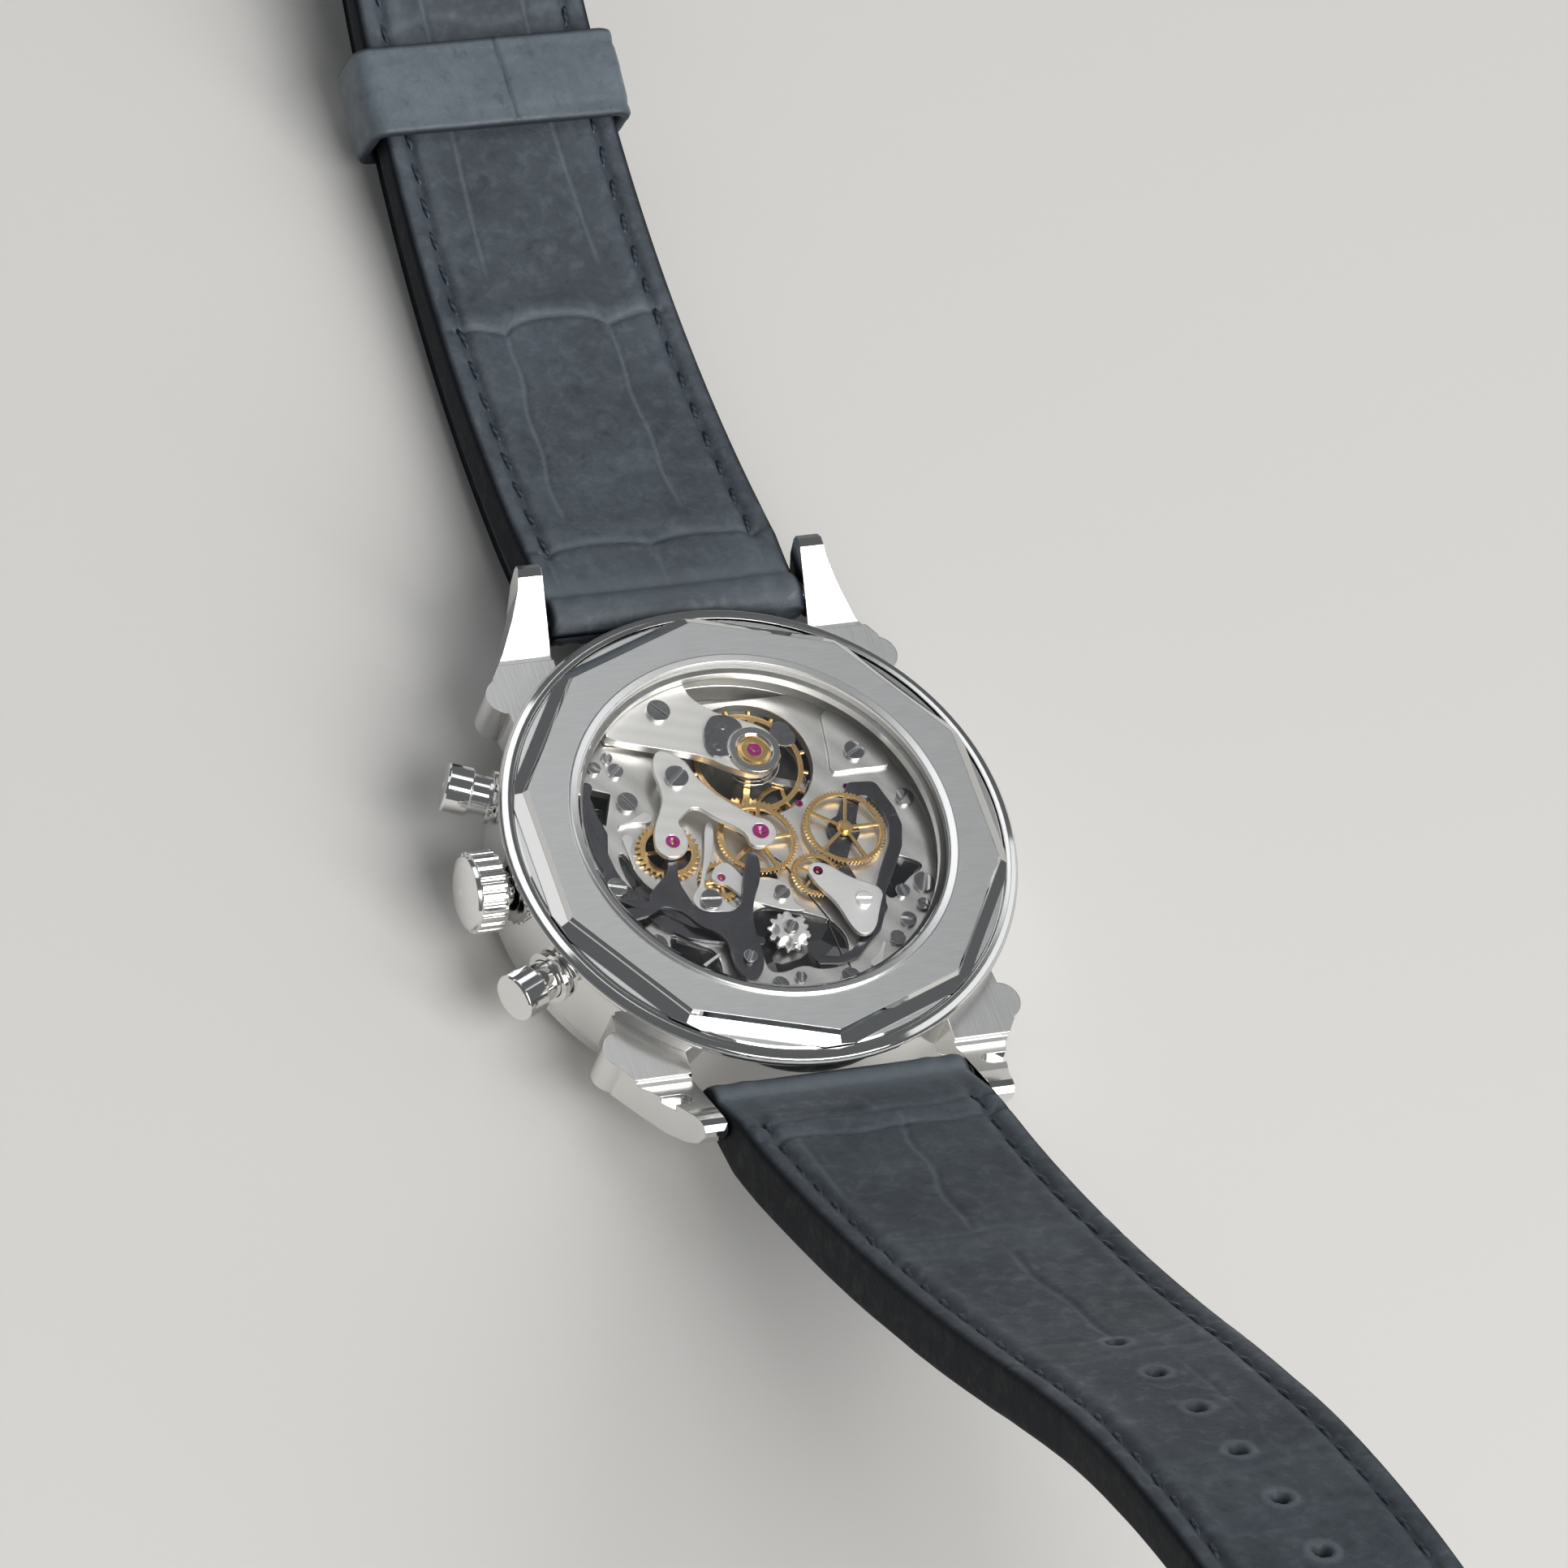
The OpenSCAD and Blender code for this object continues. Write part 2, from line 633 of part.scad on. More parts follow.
// Index plates on both sides of the jewel, and the ring that holds it
module regulator() {
    z = cock_top;
    color(DARK) slab(z, 0.2) difference() {
        union() {
            polygon(smooth([[-0.3, 10.2], [0.8, 10], [1.5, 9.1], [1.1, 8.4], [0.3, 7.9], [0.2, 6.7],
                [-1.3, 6.6], [-1.9, 7.5], [-1.6, 9], [-0.9, 10]], 1));
            polygon(smooth([[4, 9.2], [4.9, 8.8], [5.2, 7.4], [4.5, 6.8], [3.2, 7.2], [3.2, 8.2]], 1));
        }
        translate(BALANCE) circle(r = 1.9, $fn = 48);
        for (p = [[-0.95, 7.5], [-0.1, 9.2]])
            translate(p) circle(r = 0.3, $fn = 24);
    }
    color(STEEL) {
        translate([BALANCE[0], BALANCE[1], z]) rotate_extrude()
            polygon([[1.25, 0], [2.05, 0], [1.9, 0.28], [1.4, 0.28], [1.25, 0.15]]);
        for (p = [[-0.95, 7.5], [-0.1, 9.2]])
            rod(p, 0.3, z, z + 0.26);
    }
    color(GILT) translate([BALANCE[0], BALANCE[1], z]) rotate_extrude()
        polygon([[0.55, 0], [1.25, 0], [1.25, 0.12], [1, 0.22], [0.55, 0.22]]);
}

// One jewel with its oil sink and pivot hole
module jewel(at, r, z, t) {
    translate([at[0], at[1], z]) rotate_extrude($fn = 48)
        polygon([[0.14, 0], [r, 0], [r, t], [r * 0.62, t], [0.14, t * 0.6]]);
}

module jewels() {
    color(RUBY) {
        jewel(CENTRE, 0.62, top_z, top_t);
        jewel(MINUTES, 0.52, top_z, top_t);
        jewel(BALANCE, 0.55, cock_top, 0.22);
        jewel(THIRD, 0.28, bridge_z + 0.3, bridge_top - bridge_z - 0.3);
        jewel(ESCAPE, 0.28, bridge_z + 0.3, bridge_top - bridge_z - 0.3);
        jewel(INTERMEDIATE, 0.3, blade_z, lever_t);
    }
}

module bridge_screws() {
    color(STEEL) {
        for (s = PLATE_SCREWS)
            screw(s[0], s[1], s[2], bridge_top, 0.7);
        screw(COCK_SCREW[0], COCK_SCREW[1], 0.9, cock_top, 2);
        screw(BRIDGE_SCREW[0], BRIDGE_SCREW[1], 0.9, top_z + top_t, 2);
        screw(YOKE_SCREW[0], YOKE_SCREW[1], 0.6, lever_z - 0.04 + lever_t, 1);
        screw(TRAIN_SCREW[0], TRAIN_SCREW[1], 0.8, bridge_top + 0.3, 1);
        screw(HAMMER[0], HAMMER[1], 0.5, hammer_z + lever_t + running, 1.8);
        screw(OPERATING[0], OPERATING[1], 0.75, lever_z + lever_t + running, 1);
        screw(COLUMN[0], COLUMN[1], 0.5, wheel_z + 0.5, 1.6);
        screw(BRAKE[0], BRAKE[1], 0.8, blade_z + lever_t + running, 1.4);
    }
}

// Thin blade springs that return the levers
module lever_springs() {
    color(STEEL) slab(bridge_top, 0.3) {
        chain([[-9.5, 1.4, 0.4], [-9.7, 0.4, 0.13], [-9.7, -0.8, 0.1]]);
        chain([[5.9, -11.2, 0.45], [6.6, -10.3, 0.12], [7, -9.6, 0.1]]);
        chain([[-7.4, -10.6, 0.5], [-6.9, -9.6, 0.12], [-5.6, -8.9, 0.1]]);
        chain([[-7.6, 3, 0.45], [-8.8, 2.8, 0.12], [-9.7, 2.6, 0.1]]);
    }
}

/* ---- levers of the chronograph ---- */

module operating_lever() {
    color(DARK) {
        difference() {
            slab(lever_z, lever_t) {
                chain([[-11.3, 6, 0.42], [-12, 5.26, 0.7], [-11.7, 3.4, 0.55], [-11.65, 2, 0.75],
                    [-11.85, 0.4, 0.5], [-11.6, -1, 0.42], [OPERATING[0], OPERATING[1], 0.85],
                    [-10.2, -3.9, 0.55], [-8.9, -5.6, 0.55], [-7.2, -6.9, 0.5], [-4.8, -7.6, 0.45],
                    [-2.2, -8.2, 0.35]]);
            }
            rod(OPERATING, screw_shank_r + running, 7, 10);
        }
        rod([-12.1, 5.26], 0.5, 5.5, lever_z + e);
    }
}

module hammer() {
    color(DARK) {
        difference() {
            slab(hammer_z, lever_t) offset(delta = seam) {
                polygon(smooth([[-7.4, -1.1], [-7.7, -2.2], [-9, -3.2], [-9.8, -4], [-9.4, -4.9], [-8.4, -5],
                    [-7.4, -5.6], [-6.7, -6.8], [-5.6, -7.4], [-4.9, -8.4], [-5, -9.7], [-4.9, -10.9],
                    [-4.2, -12], [-3.2, -11.3], [-2.7, -10.1], [-2.6, -8.7], [-2.7, -7.8], [-2.5, -6.5],
                    [-2, -5.2], [-1.1, -3.8], [-0.7, -2.7], [-0.6, -1.5], [-1.1, -1.1], [-1.6, -1.9],
                    [-2.5, -3.8], [-2.9, -5.3], [-3.8, -6], [-5.2, -6], [-6.5, -5.5], [-6.8, -4.3],
                    [-7.1, -3.2], [-7, -2.3], [-6.7, -1.2]]));
                chain([[-9.1, -4.5, 0.5], [-10.4, -5.1, 0.42], [-12.1, -5.26, 0.55]]);
            }
            rod(HAMMER, screw_shank_r + running, 7, 10);
        }
        rod([-12.1, -5.26], 0.5, 5.5, hammer_z + e);
    }
}

module brake_lever() {
    color(STEEL) difference() {
        slab(blade_z, lever_t) offset(delta = seam) {
            polygon(smooth([[-3.5, 1.9], [-2.9, 1.6], [-3.8, -1], [-4.9, -2.6], [-5.3, -3.7], [-4.3, -4],
                [-3.9, -5.1], [-3.3, -5.5], [-3.4, -5.8], [-5.7, -5.6], [-6.4, -4.9], [-6.2, -4],
                [-5.5, -3.4], [-4.95, -2.2], [-4.2, -0.5]]));
            translate(BRAKE) circle(r = 0.85, $fn = 40);
        }
        rod(BRAKE, screw_shank_r + running, 7, 10);
    }
}

module coupling_lever() {
    color(DARK) difference() {
        union() {
            slab(lever_z, lever_t) {
                translate(SECONDS) circle(r = 1.2, $fn = 40);
                chain([[6.8, 0, 0.8], [8.6, 3.3, 0.55], [9.9, 3.1, 0.65], [10.7, 1.2, 0.5], [10.8, -0.1, 0.5],
                    [10.3, -1.7, 0.5], [8.9, -3.9, 0.5], [8, -5.3, 0.4], [7.4, -6.6, 0.6], [6.5, -8.2, 0.6],
                    [5.5, -9.3, 0.35], [4.5, -10.2, 0.35], [3.2, -10.6, 0.3], [1.8, -10.4, 0.35]]);
                chain([[6.8, 0, 0.8], [5.4, -2.6, 0.7], [6.1, -6.4, 0.9], [7.4, -6.6, 0.7]]);
                chain([[5.4, -2.6, 0.7], [COUPLING[0], COUPLING[1], 0.6]]);
            }
        }
        rod(SECONDS, 0.35, 7, 10);
        rod(COUPLING, 0.2, 7, 10);
        rod(COUPLING_SCREW, screw_shank_r, 7, 10);
    }
}

// Polished bridge that carries the coupling wheel, with its jewel and screw
module coupling_bridge() {
    z = wheel_z + wheel_t + 0.1;
    color(RHODIUM) difference() {
        union() {
            slab(z, 0.36) offset(delta = seam) {
                polygon(smooth([[2.7, -3.6], [3.1, -2.8], [4.3, -3], [5.6, -4.4], [8, -5.6], [7.1, -7.2],
                    [6.3, -8.9], [5.3, -9.3], [4.6, -8.7], [4.1, -6.3], [3.1, -4.8]]));
                translate(COUPLING) circle(r = 0.7, $fn = 40);
            }
            rod(COUPLING_SCREW, 0.75, lever_z + lever_t, z + e);
        }
        rod(COUPLING, 0.36, 7, 10);
        rod(COUPLING_SCREW, screw_shank_r, 7, 10);
    }
    color(RUBY) jewel(COUPLING, 0.36, z, 0.36);
    color(STEEL) screw(COUPLING_SCREW[0], COUPLING_SCREW[1], 0.6, z + 0.36, 1);
}

/* ---- wheels ---- */

module coupling_wheel() {
    color(GILT) {
        translate([COUPLING[0], COUPLING[1], wheel_z]) rotate(4) linear_extrude(height = wheel_t)
            wheel_shape(1.85, 0.16, 40, 5, 0.28, 0.4, 0.2);
        rod(COUPLING, 0.12, lever_z, wheel_z + 0.5);
    }
}

module column_wheel() {
    color(STEEL) difference() {
        translate([COLUMN[0], COLUMN[1], lever_z]) {
            linear_extrude(height = 0.3) polygon(teeth(1.6, 0.3, 12));
            linear_extrude(height = 0.9) difference() {
                circle(r = 1.35, $fn = 48);
                for (i = [0 : 5])
                    rotate(i * 60) translate([1.4, 0]) circle(r = 0.52, $fn = 24);
            }
        }
        rod(COLUMN, screw_shank_r + running, 7, 10);
        rod(COLUMN, 0.6, wheel_z + 0.45, 10);
    }
}

module chronograph_wheel() {
    color(GILT) {
        slab(wheel_z, wheel_t) wheel_shape(3, 0.15, 60, 5, 0.3, 0.75, 0.28);
        rod(CENTRE, arbor_r, 1.8, hammer_z + 0.3);
        rod(CENTRE, 0.12, hammer_z, top_z + 0.25);
    }
    color(STEEL) slab(hammer_z - 0.05, 0.3) chain([[0.15, 0, 0.5], [-0.45, 0.2, 0.35]]);
}

module minute_counter_wheel() {
    color(GILT) {
        translate([MINUTES[0], MINUTES[1], lever_z + 0.06]) linear_extrude(height = wheel_t)
            wheel_shape(2.4, 0.3, 30, 4, 0.4, 0.6, 0.25);
        rod(MINUTES, arbor_r, 2.65, hammer_z + 0.3);
        rod(MINUTES, 0.12, hammer_z, top_z + 0.25);
    }
    color(STEEL) slab(hammer_z - 0.05, 0.3) translate(MINUTES) chain([[0.1, 0, 0.4], [0.35, 0.15, 0.3]]);
}

module intermediate_wheel() {
    color(GILT) {
        translate([INTERMEDIATE[0], INTERMEDIATE[1], lever_z + 0.06]) linear_extrude(height = wheel_t)
            wheel_shape(1.65, 0.22, 26, 4, 0.3, 0.5, 0.22);
        rod(INTERMEDIATE, 0.12, bridge_top, blade_z + 0.2);
    }
}

module centre_wheel() {
    color(GILT) difference() {
        union() {
            slab(6.42, 0.18) wheel_shape(4.5, 0.16, 80, 5, 0.4, 1.2, 0.35);
            slab(5.4, 1.1) polygon(teeth(1.14, 0.2, 12));
            rod(CENTRE, 0.5, 2, 7.4);
        }
        rod(CENTRE, arbor_r + running, 0, 9);
    }
}

module hour_wheel() {
    color(GILT) difference() {
        union() {
            slab(3.58, 0.25) polygon(teeth(2.6, 0.2, 48));
            rod(CENTRE, 0.85, 2.3, 3.7);
        }
        rod(CENTRE, 0.5 + running, 0, 9);
    }
}

module third_wheel() {
    color(GILT) {
        translate([THIRD[0], THIRD[1], 5.42]) linear_extrude(height = 0.15)
            wheel_shape(3.03, 0.15, 75, 4, 0.3, 0.6, 0.3);
        translate([THIRD[0], THIRD[1], 6.36]) linear_extrude(height = 0.34) polygon(teeth(0.66, 0.14, 10));
        rod(THIRD, 0.2, plate_top, 6.9);
        rod(THIRD, 0.12, 6.8, 7.3);
    }
}

module fourth_wheel() {
    color(GILT) {
        translate([SECONDS[0], SECONDS[1], 6.1]) linear_extrude(height = 0.15)
            wheel_shape(3.48, 0.15, 70, 5, 0.3, 0.7, 0.3);
        translate([SECONDS[0], SECONDS[1], 5.36]) linear_extrude(height = 0.3) polygon(teeth(0.74, 0.14, 10));
        rod(SECONDS, arbor_r, 2.65, wheel_z + 0.35);
    }
}

// The wheel on the fourth arbor that drives the chronograph
module driving_wheel() {
    color(GILT) difference() {
        translate([SECONDS[0], SECONDS[1], wheel_z]) {
            linear_extrude(height = wheel_t) wheel_shape(3.1, 0.15, 64, 5, 0.3, 0.62, 0.26);
            cylinder(r = 0.42, h = 0.42);
        }
        rod(SECONDS, arbor_r, 7, wheel_z + 0.35);
    }
}

module escape_wheel() {
    color(STEEL) {
        translate([ESCAPE[0], ESCAPE[1], 5.65]) linear_extrude(height = 0.18)
            wheel_shape(1.9, 0.45, 15, 4, 0.22, 0.4, 0.2);
        translate([ESCAPE[0], ESCAPE[1], 6.04]) linear_extrude(height = 0.3) polygon(teeth(0.58, 0.12, 7));
        rod(ESCAPE, 0.12, plate_top, 7.3);
    }
}

module pallet_fork() {
    n = across(PALLET, ESCAPE);
    t = (BALANCE - PALLET) / norm(BALANCE - PALLET);
    a = PALLET + n * 1.4 - t * 0.6;
    b = PALLET - n * 1.4 - t * 0.6;
    f = PALLET + t * 3.3;
    color(STEEL) {
        slab(5.65, 0.2) {
            chain([[a[0], a[1], 0.16], [PALLET[0], PALLET[1], 0.38], [f[0], f[1], 0.22]]);
            chain([[PALLET[0], PALLET[1], 0.38], [b[0], b[1], 0.16]]);
        }
        rod(PALLET, 0.12, 5.62, 6.6);
    }
}

module balance_wheel() {
    r = balance_d / 2;
    color(GILT) translate([BALANCE[0], BALANCE[1], 6.85]) {
        linear_extrude(height = 0.4) difference() {
            circle(r = r - 0.35, $fn = 96);
            difference() {
                circle(r = r - 0.75, $fn = 96);
                rotate(70) square([2 * r, 0.5], center = true);
                circle(r = 0.6, $fn = 28);
            }
        }
        for (i = [0 : 15])
            rotate(i * 22.5 + 5) translate([r - 0.42, 0, 0.2]) rotate([0, 90, 0])
                cylinder(r = 0.2, h = 0.42, $fn = 20);
    }
    color(STEEL) {
        rod(BALANCE, 0.25, 5.3, 8);
        rod(BALANCE, 0.1, 4.5, cock_top + 0.1);
        rod(BALANCE, 0.6, 6.1, 6.35);
    }
}

// The turns of the spiral as one plane ribbon
module hairspring() {
    turns = 6;
    steps = 22;
    n = turns * steps;
    color(STEEL) translate([BALANCE[0], BALANCE[1], 7.45]) linear_extrude(height = 0.16)
        polygon(concat([for (i = [0 : n]) polar(0.36 + 1.9 * i / n, i * 360 / steps)],
            [for (i = [0 : n]) polar(0.28 + 1.9 * (n - i) / n, (n - i) * 360 / steps)]));
}

module barrel() {
    color(GILT) {
        translate([BARREL[0], BARREL[1], 5.38]) linear_extrude(height = 0.3) polygon(teeth(5.88, 0.24, 84));
        rod(BARREL, 5.4, 5.6, 6.25);
        rod(BARREL, 0.42, 6.2, 6.75);
    }
}

// The ratchet wheel lies between the barrel and its bridge
module ratchet_wheel() {
    color(STEEL) translate([BARREL[0], BARREL[1], 6.3]) linear_extrude(height = 0.1) difference() {
        polygon(teeth(2.2, 0.2, 36));
        circle(r = 0.47, $fn = 28);
    }
}

/* ---- hands ---- */

// A leaf-shaped hand pointing along +Y
module leaf(l, w, hub, bore) {
    difference() {
        union() {
            polygon([[-0.12, -hub], [0.12, -hub], [w / 2, l * 0.35], [0.05, l], [-0.05, l], [-w / 2, l * 0.35]]);
            circle(r = hub, $fn = 32);
        }
        circle(r = bore, $fn = 32);
    }
}

module hour_hand() {
    color(GILT) slab(2.38, 0.12) rotate(-60) leaf(8.6, 1.2, 1.05, 0.85);
}

module minute_hand() {
    color(GILT) slab(2.06, 0.12) rotate(55) leaf(13, 1, 0.9, 0.5);
}

module chronograph_hand() {
    color(GILT) slab(1.8, 0.1) difference() {
        chain([[0, -4, 0.35], [0, -2.4, 0.09], [0, 14.2, 0.06]]);
        circle(r = arbor_r, $fn = 24);
    }
    color(GILT) translate([0, 0, 1.8]) difference() {
        cylinder(r = 0.55, h = 0.1);
        translate([0, 0, -1]) cylinder(r = arbor_r, h = 3);
    }
}

module seconds_hand() {
    color(GILT) translate(SECONDS) slab(2.7, 0.1) rotate(130) leaf(3.6, 0.4, 0.4, arbor_r);
}

module minute_counter_hand() {
    color(GILT) translate(MINUTES) slab(2.7, 0.1) leaf(3.6, 0.4, 0.4, arbor_r);
}

/* ---- strap ---- */

// Side view of one half of the strap, from its spring bar outwards
module strap_side(arcs, start, l) {
    n = arc_steps * len(arcs);
    at = [for (i = [0 : n]) l * i / n];
    polygon(concat([for (s = at) off(station(arcs, start, s), half_t(s, l))],
        [for (i = [n : -1 : 0]) off(station(arcs, start, at[i]), -half_t(at[i], l))]));
}

// One half of the strap in its own place, with a rolled end for the spring bar
module strap_half(arcs, start, l) {
    translate([-strap_w / 2, bar_y, bar_z]) rotate([90, 0, 90])
        linear_extrude(height = strap_w) offset(delta = seam) {
            strap_side(arcs, start, l);
            circle(r = roll_r, $fn = 48);
        }
}

// The spring bar's bore through the rolled end
module bar_bore() {
    translate([-20, bar_y, bar_z]) rotate([0, 90, 0]) cylinder(r = bar_r + running, h = 40, $fn = 40);
}

// Where something stands on the buckle side, at a distance from the spring bar
module on_strap(s) {
    st = station(BUCKLE_ARCS, BUCKLE_START, s);
    translate([0, bar_y + st[0][0], bar_z + st[0][1]]) rotate([st[1], 0, 0]) children();
}

module strap_buckle_side() {
    w = strap_w / 2;
    b = buckle_w / 2;
    color(LEATHER) difference() {
        union() {
            intersection() {
                strap_half(BUCKLE_ARCS, BUCKLE_START, buckle_len - 1);
                linear_extrude(height = 90, center = true)
                    polygon([[-w, 10], [w, 10], [w, bar_y + 8], [b, bar_y + 68], [b, 120], [-b, 120],
                        [-b, bar_y + 68], [-w, bar_y + 8]]);
            }
            on_strap(buckle_len) translate([-b + 0.2, 0, 0]) rotate([0, 90, 0])
                cylinder(r = 1.5, h = 2 * b - 0.4, $fn = 40);
        }
        bar_bore();
        on_strap(buckle_len) {
            translate([-20, 0, 0]) rotate([0, 90, 0]) cylinder(r = frame_bar_r + running, h = 40, $fn = 40);
            translate([-1.5, -5, -5]) cube([3, 10, 10]);
        }
    }
}

module strap_hole_side() {
    w = strap_w / 2;
    t = tail_w / 2;
    far = 140;
    color(LEATHER) rotate([0, 0, 180]) difference() {
        intersection() {
            strap_half(HOLE_ARCS, HOLE_START, hole_len);
            linear_extrude(height = 200, center = true)
                polygon([[-w, 10], [w, 10], [w, bar_y + 8], [t + 0.6, bar_y + 32], [t, bar_y + 46],
                    [t, bar_y + 90], [t * 0.75, bar_y + 94.5], [t * 0.3, bar_y + 97], [-t * 0.3, bar_y + 97],
                    [-t * 0.75, bar_y + 94.5], [-t, bar_y + 90], [-t, bar_y + 46], [-t - 0.6, bar_y + 32],
                    [-w, bar_y + 8]]);
        }
        bar_bore();
        for (i = [0 : hole_count - 1]) {
            st = station(HOLE_ARCS, HOLE_START, first_hole + i * hole_pitch);
            translate([0, bar_y + st[0][0], bar_z + st[0][1]]) rotate([st[1], 0, 0])
                cylinder(r = strap_hole_r, h = 8, center = true, $fn = 24);
        }
    }
}

// A loop round the strap
module keeper(s, l, room) {
    hw = strap_w / 2 - (strap_w - buckle_w) / 2 * (s - 8) / (buckle_len - 8) + room;
    ht = half_t(s, buckle_len) + room;
    on_strap(s) rotate([90, 0, 0]) linear_extrude(height = l, center = true) difference() {
        offset(r = 0.6, $fn = 24) square(2 * [hw + keeper_wall - 0.6, ht + keeper_wall - 0.6], center = true);
        square(2 * [hw, ht], center = true);
    }
}

module sliding_keeper() {
    color(LEATHER) keeper(keeper_at, keeper_len, 0.35);
}

module fixed_keeper() {
    color(LEATHER) keeper(fixed_keeper_at, fixed_keeper_len, 0.3);
}

module buckle_bar() {
    color(STEEL) on_strap(buckle_len) translate([-buckle_w / 2 - 1.4, 0, 0]) rotate([0, 90, 0])
        cylinder(r = frame_bar_r, h = buckle_w + 2.8, $fn = 40);
}

module buckle_frame() {
    h = buckle_w / 2 + 0.2;
    color(STEEL) on_strap(buckle_len) difference() {
        union() {
            for (s = [-1, 1])
                translate([s > 0 ? h : -h - 1.6, 0, 0]) rotate([90, 0, 90]) linear_extrude(height = 1.6)
                    chain([[0, 0, 1.5], [6, 0.5, 1.2], [12.6, 0.2, 1.2]]);
            translate([-h - 1.6, 12.6, 0.2]) rotate([0, 90, 0])
                cylinder(r = 1.2, h = 2 * h + 3.2, $fn = 40);
        }
        translate([-20, 0, 0]) rotate([0, 90, 0]) cylinder(r = frame_bar_r + running, h = 40, $fn = 40);
    }
}

module buckle_tang() {
    color(STEEL) on_strap(buckle_len) difference() {
        translate([-tang_w / 2, 0, 0]) rotate([90, 0, 90]) linear_extrude(height = tang_w)
            chain([[0, 0, 1.35], [3, 1.6, 0.5], [9, 2.1, 0.45], [12.8, 2, 0.4], [14.2, 1.7, 0.35]]);
        translate([-20, 0, 0]) rotate([0, 90, 0]) cylinder(r = frame_bar_r + running, h = 40, $fn = 40);
    }
}

case_middle();
bezel();
front_crystal();
seal_rings();
flange_ring();
dial();
hour_markers();
caseback();
caseback_glass();
movement_ring();
case_tubes();
spring_bars();
main_plate();
barrel_bridge();
train_bridge();
chronograph_bridge();
minute_bridge();
balance_cock();
regulator();
jewels();
bridge_screws();
lever_springs();
crown_gasket();
crown();
winding_stem();
pusher_start();
pusher_reset();
operating_lever();
hammer();
brake_lever();
coupling_lever();
coupling_bridge();
coupling_wheel();
column_wheel();
chronograph_wheel();
chronograph_hand();
minute_counter_wheel();
minute_counter_hand();
intermediate_wheel();
centre_wheel();
minute_hand();
hour_wheel();
hour_hand();
third_wheel();
fourth_wheel();
driving_wheel();
seconds_hand();
escape_wheel();
pallet_fork();
balance_wheel();
hairspring();
barrel();
ratchet_wheel();
strap_buckle_side();
strap_hole_side();
fixed_keeper();
sliding_keeper();
buckle_frame();
buckle_tang();
buckle_bar();
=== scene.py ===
import math

import bpy
import numpy as np
from mathutils import Matrix, Vector


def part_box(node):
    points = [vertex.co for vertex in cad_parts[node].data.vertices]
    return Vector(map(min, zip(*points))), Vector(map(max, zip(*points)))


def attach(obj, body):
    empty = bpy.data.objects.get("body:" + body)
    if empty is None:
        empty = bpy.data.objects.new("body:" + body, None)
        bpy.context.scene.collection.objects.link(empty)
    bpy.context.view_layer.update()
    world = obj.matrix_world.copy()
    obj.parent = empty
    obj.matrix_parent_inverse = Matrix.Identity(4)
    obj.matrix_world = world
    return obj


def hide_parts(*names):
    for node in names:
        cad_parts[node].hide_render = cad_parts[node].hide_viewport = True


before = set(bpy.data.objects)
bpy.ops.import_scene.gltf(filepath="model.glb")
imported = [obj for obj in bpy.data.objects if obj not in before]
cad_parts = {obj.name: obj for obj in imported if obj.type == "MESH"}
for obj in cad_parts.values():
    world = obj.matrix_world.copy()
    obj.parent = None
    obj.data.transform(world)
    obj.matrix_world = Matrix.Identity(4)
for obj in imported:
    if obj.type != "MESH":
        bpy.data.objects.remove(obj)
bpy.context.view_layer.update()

MM = 0.001


# ---- camera ----

def camera():
    """A long lens that looks down on the caseback from the crown's side of the long half."""
    data = bpy.data.cameras.new("view_camera")
    data.lens = 223.6
    data.sensor_width = 36
    data.clip_start, data.clip_end = 0.05, 20
    cam = bpy.data.objects.new("view_camera", data)
    place = (-0.25665, -0.32490, 0.57034)
    right = Vector((0.92208, -0.28869, 0.25774))
    up = Vector((0.11030, 0.83440, 0.54000))
    back = Vector((-0.37096, -0.46949, 0.80123))
    turn = Matrix((right, up, back)).transposed().to_4x4()
    cam.matrix_world = Matrix.Translation(place) @ turn
    bpy.context.scene.collection.objects.link(cam)
    bpy.context.scene.camera = cam


camera()


# ---- node helpers ----

def node(tree, kind, inputs=None, **settings):
    """One shader node. A socket given as an input is linked, anything else is set."""
    n = tree.nodes.new(kind)
    for key, value in settings.items():
        setattr(n, key, value)
    for key, value in (inputs or {}).items():
        if isinstance(value, bpy.types.NodeSocket):
            tree.links.new(value, n.inputs[key])
        else:
            n.inputs[key].default_value = value
    return n


def maths(tree, operation, a, b=0.0, c=0.0, clamp=False):
    """The result of one arithmetic step."""
    return node(tree, "ShaderNodeMath", {0: a, 1: b, 2: c}, operation=operation, use_clamp=clamp).outputs[0]


def mix(tree, factor, a, b):
    """A colour between a and b."""
    return node(tree, "ShaderNodeMix", {0: factor, 6: a, 7: b}, data_type="RGBA").outputs[2]


def blend_value(tree, factor, a, b):
    """A number between a and b."""
    return node(tree, "ShaderNodeMix", {0: factor, 2: a, 3: b}, data_type="FLOAT").outputs[0]


def group(name, inputs, outputs):
    """An empty node group with named sockets, given as (name, type, default)."""
    tree = bpy.data.node_groups.new(name, "ShaderNodeTree")
    for label, kind, value in inputs:
        socket = tree.interface.new_socket(name=label, in_out="INPUT", socket_type="NodeSocket" + kind)
        if value is not None:
            socket.default_value = value
    for label, kind in outputs:
        tree.interface.new_socket(name=label, in_out="OUTPUT", socket_type="NodeSocket" + kind)
    return tree, tree.nodes.new("NodeGroupInput").outputs, tree.nodes.new("NodeGroupOutput")


def use(tree, shared, inputs):
    """The outputs of a shared group used in a material."""
    n = tree.nodes.new("ShaderNodeGroup")
    n.node_tree = shared
    for key, value in inputs.items():
        if isinstance(value, bpy.types.NodeSocket):
            tree.links.new(value, n.inputs[key])
        else:
            n.inputs[key].default_value = value
    return n.outputs


def split(tree, vector):
    """The three parts of a vector."""
    return node(tree, "ShaderNodeSeparateXYZ", {0: vector}).outputs


